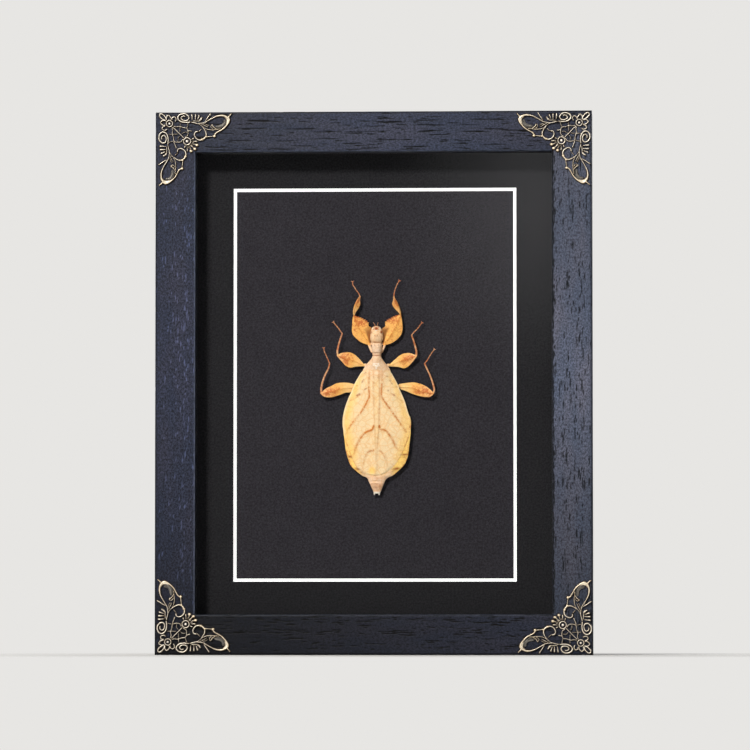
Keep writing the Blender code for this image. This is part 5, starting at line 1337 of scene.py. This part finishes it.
def leg(name, shape, finish):
    blades = [blade(part) for part in shape["blades"]]
    first = shape["blades"][0]
    root = np.mean([first["outer"][0], first["inner"][0]], axis=0)
    toward = np.array([-np.sign(root[0]), 0.15])
    base = [
        (*(root + toward * reach), first["heights"][0] + rise)
        for reach, rise in ((1.6, 0.4), (0.5, 0.3), (-0.6, 0.0))]
    pieces = [made for made, *_ in blades]
    pieces.append(limb_tube("coxa", base, (0.75, 0.7, 0.5), 18))
    if "hip" in shape:
        pieces.append(limb_tube("hip", raised(shape["hip"], HIP_HEIGHTS), HIP_RADII, 24))
    if "tibia" in shape:
        pieces.append(limb_tube("tibia", raised(shape["tibia"], TIBIA_HEIGHTS), TIBIA_RADII, 60, 14, 0.7))
    pieces.append(limb_tube("tarsus", raised(shape["tarsus"], TARSUS_HEIGHTS), TARSUS_RADII, 70, 12, 0.85, 5))
    tarsus = np.array(shape["tarsus"], float)
    pieces += claws(tarsus[-1], tarsus[-1] - tarsus[-2], TARSUS_HEIGHTS[-1])
    made = united(name + "_segments", pieces, finish)
    x, z = own_place(vectors_of(made))
    gold, burnt, vein, flesh, umber, mark, covered = (np.zeros(len(x)) for _ in range(7))
    for part, (_, flat, place, share) in zip(shape["blades"], blades):
        gap = gaps(x, z, flat[::2])
        nearest = gap.argmin(axis=1) * 2
        inside = ramp(-gap.min(axis=1), -0.45, -0.25)
        across, along = place[nearest], share[nearest]
        if part["toothed"]:
            tip = 0.3 + 0.7 * ramp(across, part["scorched"], part["scorched"] + 0.8)
            scorch = np.maximum(0.9 * ramp(along, 0.45, 0.75) * tip, 0.22)
            hollow = ramp(across, part["shaded"], part["shaded"] + 0.16) * fall(along, 0.45, 0.5)
            umber = np.maximum(umber, inside * hollow * (0.95 - 0.35 * ramp(along, 0.34, 0.45)))
            mark = np.maximum(mark, inside * 0.7 * ramp(across, 0.8, 1.0) * ramp(along, 0.52, 0.6))
            tint = 1.0
        else:
            along_rib = 0.25 + 0.75 * np.exp(-((across / 0.6) ** 2))
            scorch = ramp(along, 0.2, 0.75) * along_rib * (1 - 0.35 * ramp(along, 0.75, 1.0))
            flesh = np.maximum(flesh, inside * 0.3 * ramp(along, 0.5, 0.9))
            tint = 0.25 + 0.75 * ramp(along, 0.15, 0.6)
        burnt = np.maximum(burnt, inside * 0.8 * scorch)
        vein = np.maximum(vein, inside * 0.7 * np.exp(-((across / 0.06) ** 2)) * (1 - umber))
        gold = np.maximum(gold, inside * tint)
        covered = np.maximum(covered, inside)
    bare = 1 - covered
    near_root = fall(np.hypot(x - root[0], z - root[1]), 3.5, 5.0)
    foot = bare * fall(gaps(x, z, tarsus).min(axis=1), 0.8, 2.0)
    umber = np.maximum(umber, 0.22 * bare * (1 - near_root))
    if len(blades) > 1:
        umber = np.maximum(umber, 0.36 * ramp(-gaps(x, z, blades[1][1][::4]).min(axis=1), -0.5, -0.3))
    paint(
        made, gold=gold, burnt=burnt + 0.5 * bare * (1 - near_root), vein=vein,
        mark=mark + (0.2 * bare + 0.3 * foot) * (1 - near_root),
        flesh=np.maximum(flesh, 0.65 * bare + 0.3 * bare * near_root), pearl=0.0, umber=umber)
    return kept(made, "insect_limb", name)


def feeler(name, path, finish):
    path = raised(path, FEELER_HEIGHTS)
    made = limb_tube(name.replace("antenna", "feeler"), path, (0.17, 0.14, 0.1), 36, 12, 1.0, 4, finish)
    paint(made, gold=0.0, burnt=0.5, vein=0.0, mark=0.45, flesh=0.9, pearl=0.0, umber=0.45)
    return kept(made, "insect_limb", name)


def insect():
    insect_body(dried_skin("dried_body", shade(250, 214, 160), shade(255, 214, 120), 0.05))
    wing_look = dried_skin("dried_wing", shade(239, 211, 164), shade(250, 205, 109), 0.06)
    forewing(LEFT_WING_EDGE, -1, wing_look)
    forewing(RIGHT_WING_EDGE, 1, wing_look)
    limb_look = dried_skin("dried_limb", shade(246, 204, 136), shade(238, 178, 94), 0.05)
    for name, shape in LEGS.items():
        leg(name, shape, limb_look)
    for name, path in ANTENNAE.items():
        feeler(name, path, limb_look)


def look_at(obj, place, target):
    obj.location = place
    obj.rotation_euler = (Vector(target) - Vector(place)).to_track_quat("-Z", "Y").to_euler()


def camera():
    lens = bpy.data.cameras.new("camera")
    lens.lens, lens.sensor_width = LENS, SENSOR
    lens.clip_end = 100.0
    made = linked("camera", lens)
    look_at(made, (CAMERA_X, FRONT_Y - CAMERA_DISTANCE, CAMERA_Z), (AIM_X, FRONT_Y, AIM_Z))
    bpy.context.scene.camera = made


def studio_lights():
    """Soft lights that face the middle of the frame's front: the key light from above on the left."""
    middle = Vector((0.0, FRONT_Y, MIDDLE_Z))
    key_place = middle + Vector((-0.33, -0.79, 0.515)).normalized() * 1.5
    for name, place, size, power, colour in [
        ("key_light", key_place, (0.22, 0.2), 24.0, (1.0, 0.985, 0.96)),
        ("sheen_light", (0.52, -2.0, 0.66), (0.6, 0.5), 1.6, (0.93, 0.96, 1.0)),
        ("fill_light", (1.1, -1.5, -0.05), (0.8, 0.7), 1.2, (0.96, 0.98, 1.0)),
        ("back_light", (-1.2, 1.3, 0.7), (0.8, 0.8), 14.0, (1.0, 1.0, 1.0)),
        ("back_light", (1.2, 1.3, 0.7), (0.8, 0.8), 14.0, (1.0, 1.0, 1.0)),
    ]:
        lamp = bpy.data.lights.new(name, "AREA")
        lamp.shape = "RECTANGLE"
        lamp.size, lamp.size_y = size
        lamp.energy, lamp.color = power, colour
        made = linked(name, lamp)
        look_at(made, place, middle)
        made.visible_camera = False


def studio_world():
    """A dim room: darker straight ahead, but for a soft glow low on the right that the glass catches."""
    world = bpy.data.worlds.new("studio")
    bpy.context.scene.world = world
    finish = Finish("studio", world)
    towards = finish.node("TexCoord", output="Generated")
    axes = ((0, -1, 0), (1, 0, 0), (0, 0, 1))
    ahead, across, up = (finish.vector("DOT_PRODUCT", towards, axis, output="Value") for axis in axes)
    drift = finish.noise(12, 2.0, stretch=(1.0, 1.0, 0.4), at=towards)
    glow = across.between(-0.048, -0.014) * up.between(0.045, 0.085)
    glow = glow * (0.5 + drift) * ahead.between(0.98, 0.99)
    dim = finish.mix(ahead.between(0.975, 0.99), (0.035, 0.036, 0.04, 1), (0.018, 0.018, 0.02, 1))
    dim = finish.mix(glow, dim, (0.34, 0.34, 0.35, 1))
    seen = finish.node("LightPath", output="Is Camera Ray")
    colour = finish.mix(seen, dim, PALE_GROUND)
    light = finish.node("Background", None, {"Color": colour, "Strength": 1.0})
    finish.node("OutputWorld", None, {"Surface": light})


def floor():
    """A wide pale floor. Far from the frame it fades into the plain ground."""
    finish = Finish("pale_floor")
    flat = finish.vector("MULTIPLY", finish.place(), (1.0, 1.0, 0.0))
    away = finish.vector("LENGTH", flat, output="Value")
    rough = 0.8 + 0.1 * finish.noise(1.5)
    look = {"Base Color": (0.74, 0.73, 0.71, 1), "Roughness": rough, "Specular IOR Level": 0.0}
    matt = finish.node("BsdfPrincipled", None, look)
    glow = finish.node("Emission", None, {"Color": PALE_GROUND, "Strength": 1.0})
    seen = finish.node("LightPath", output="Is Camera Ray")
    both = finish.node("MixShader", None, {0: away.between(0.07, 0.3) * seen, 1: matt, 2: glow})
    finish.node("OutputMaterial", None, {"Surface": both})
    ends = (-FLOOR_REACH, FLOOR_REACH)
    points = np.array([(x, y, FLOOR_Z) for x in ends for y in ends])
    made = mesh_piece("floor", points, [[0, 2, 3, 1]], finish.material)


bpy.context.scene.view_settings.view_transform = "Standard"
camera()
studio_lights()
studio_world()
floor()
frame_and_layers()
corner_ornaments()
insect()
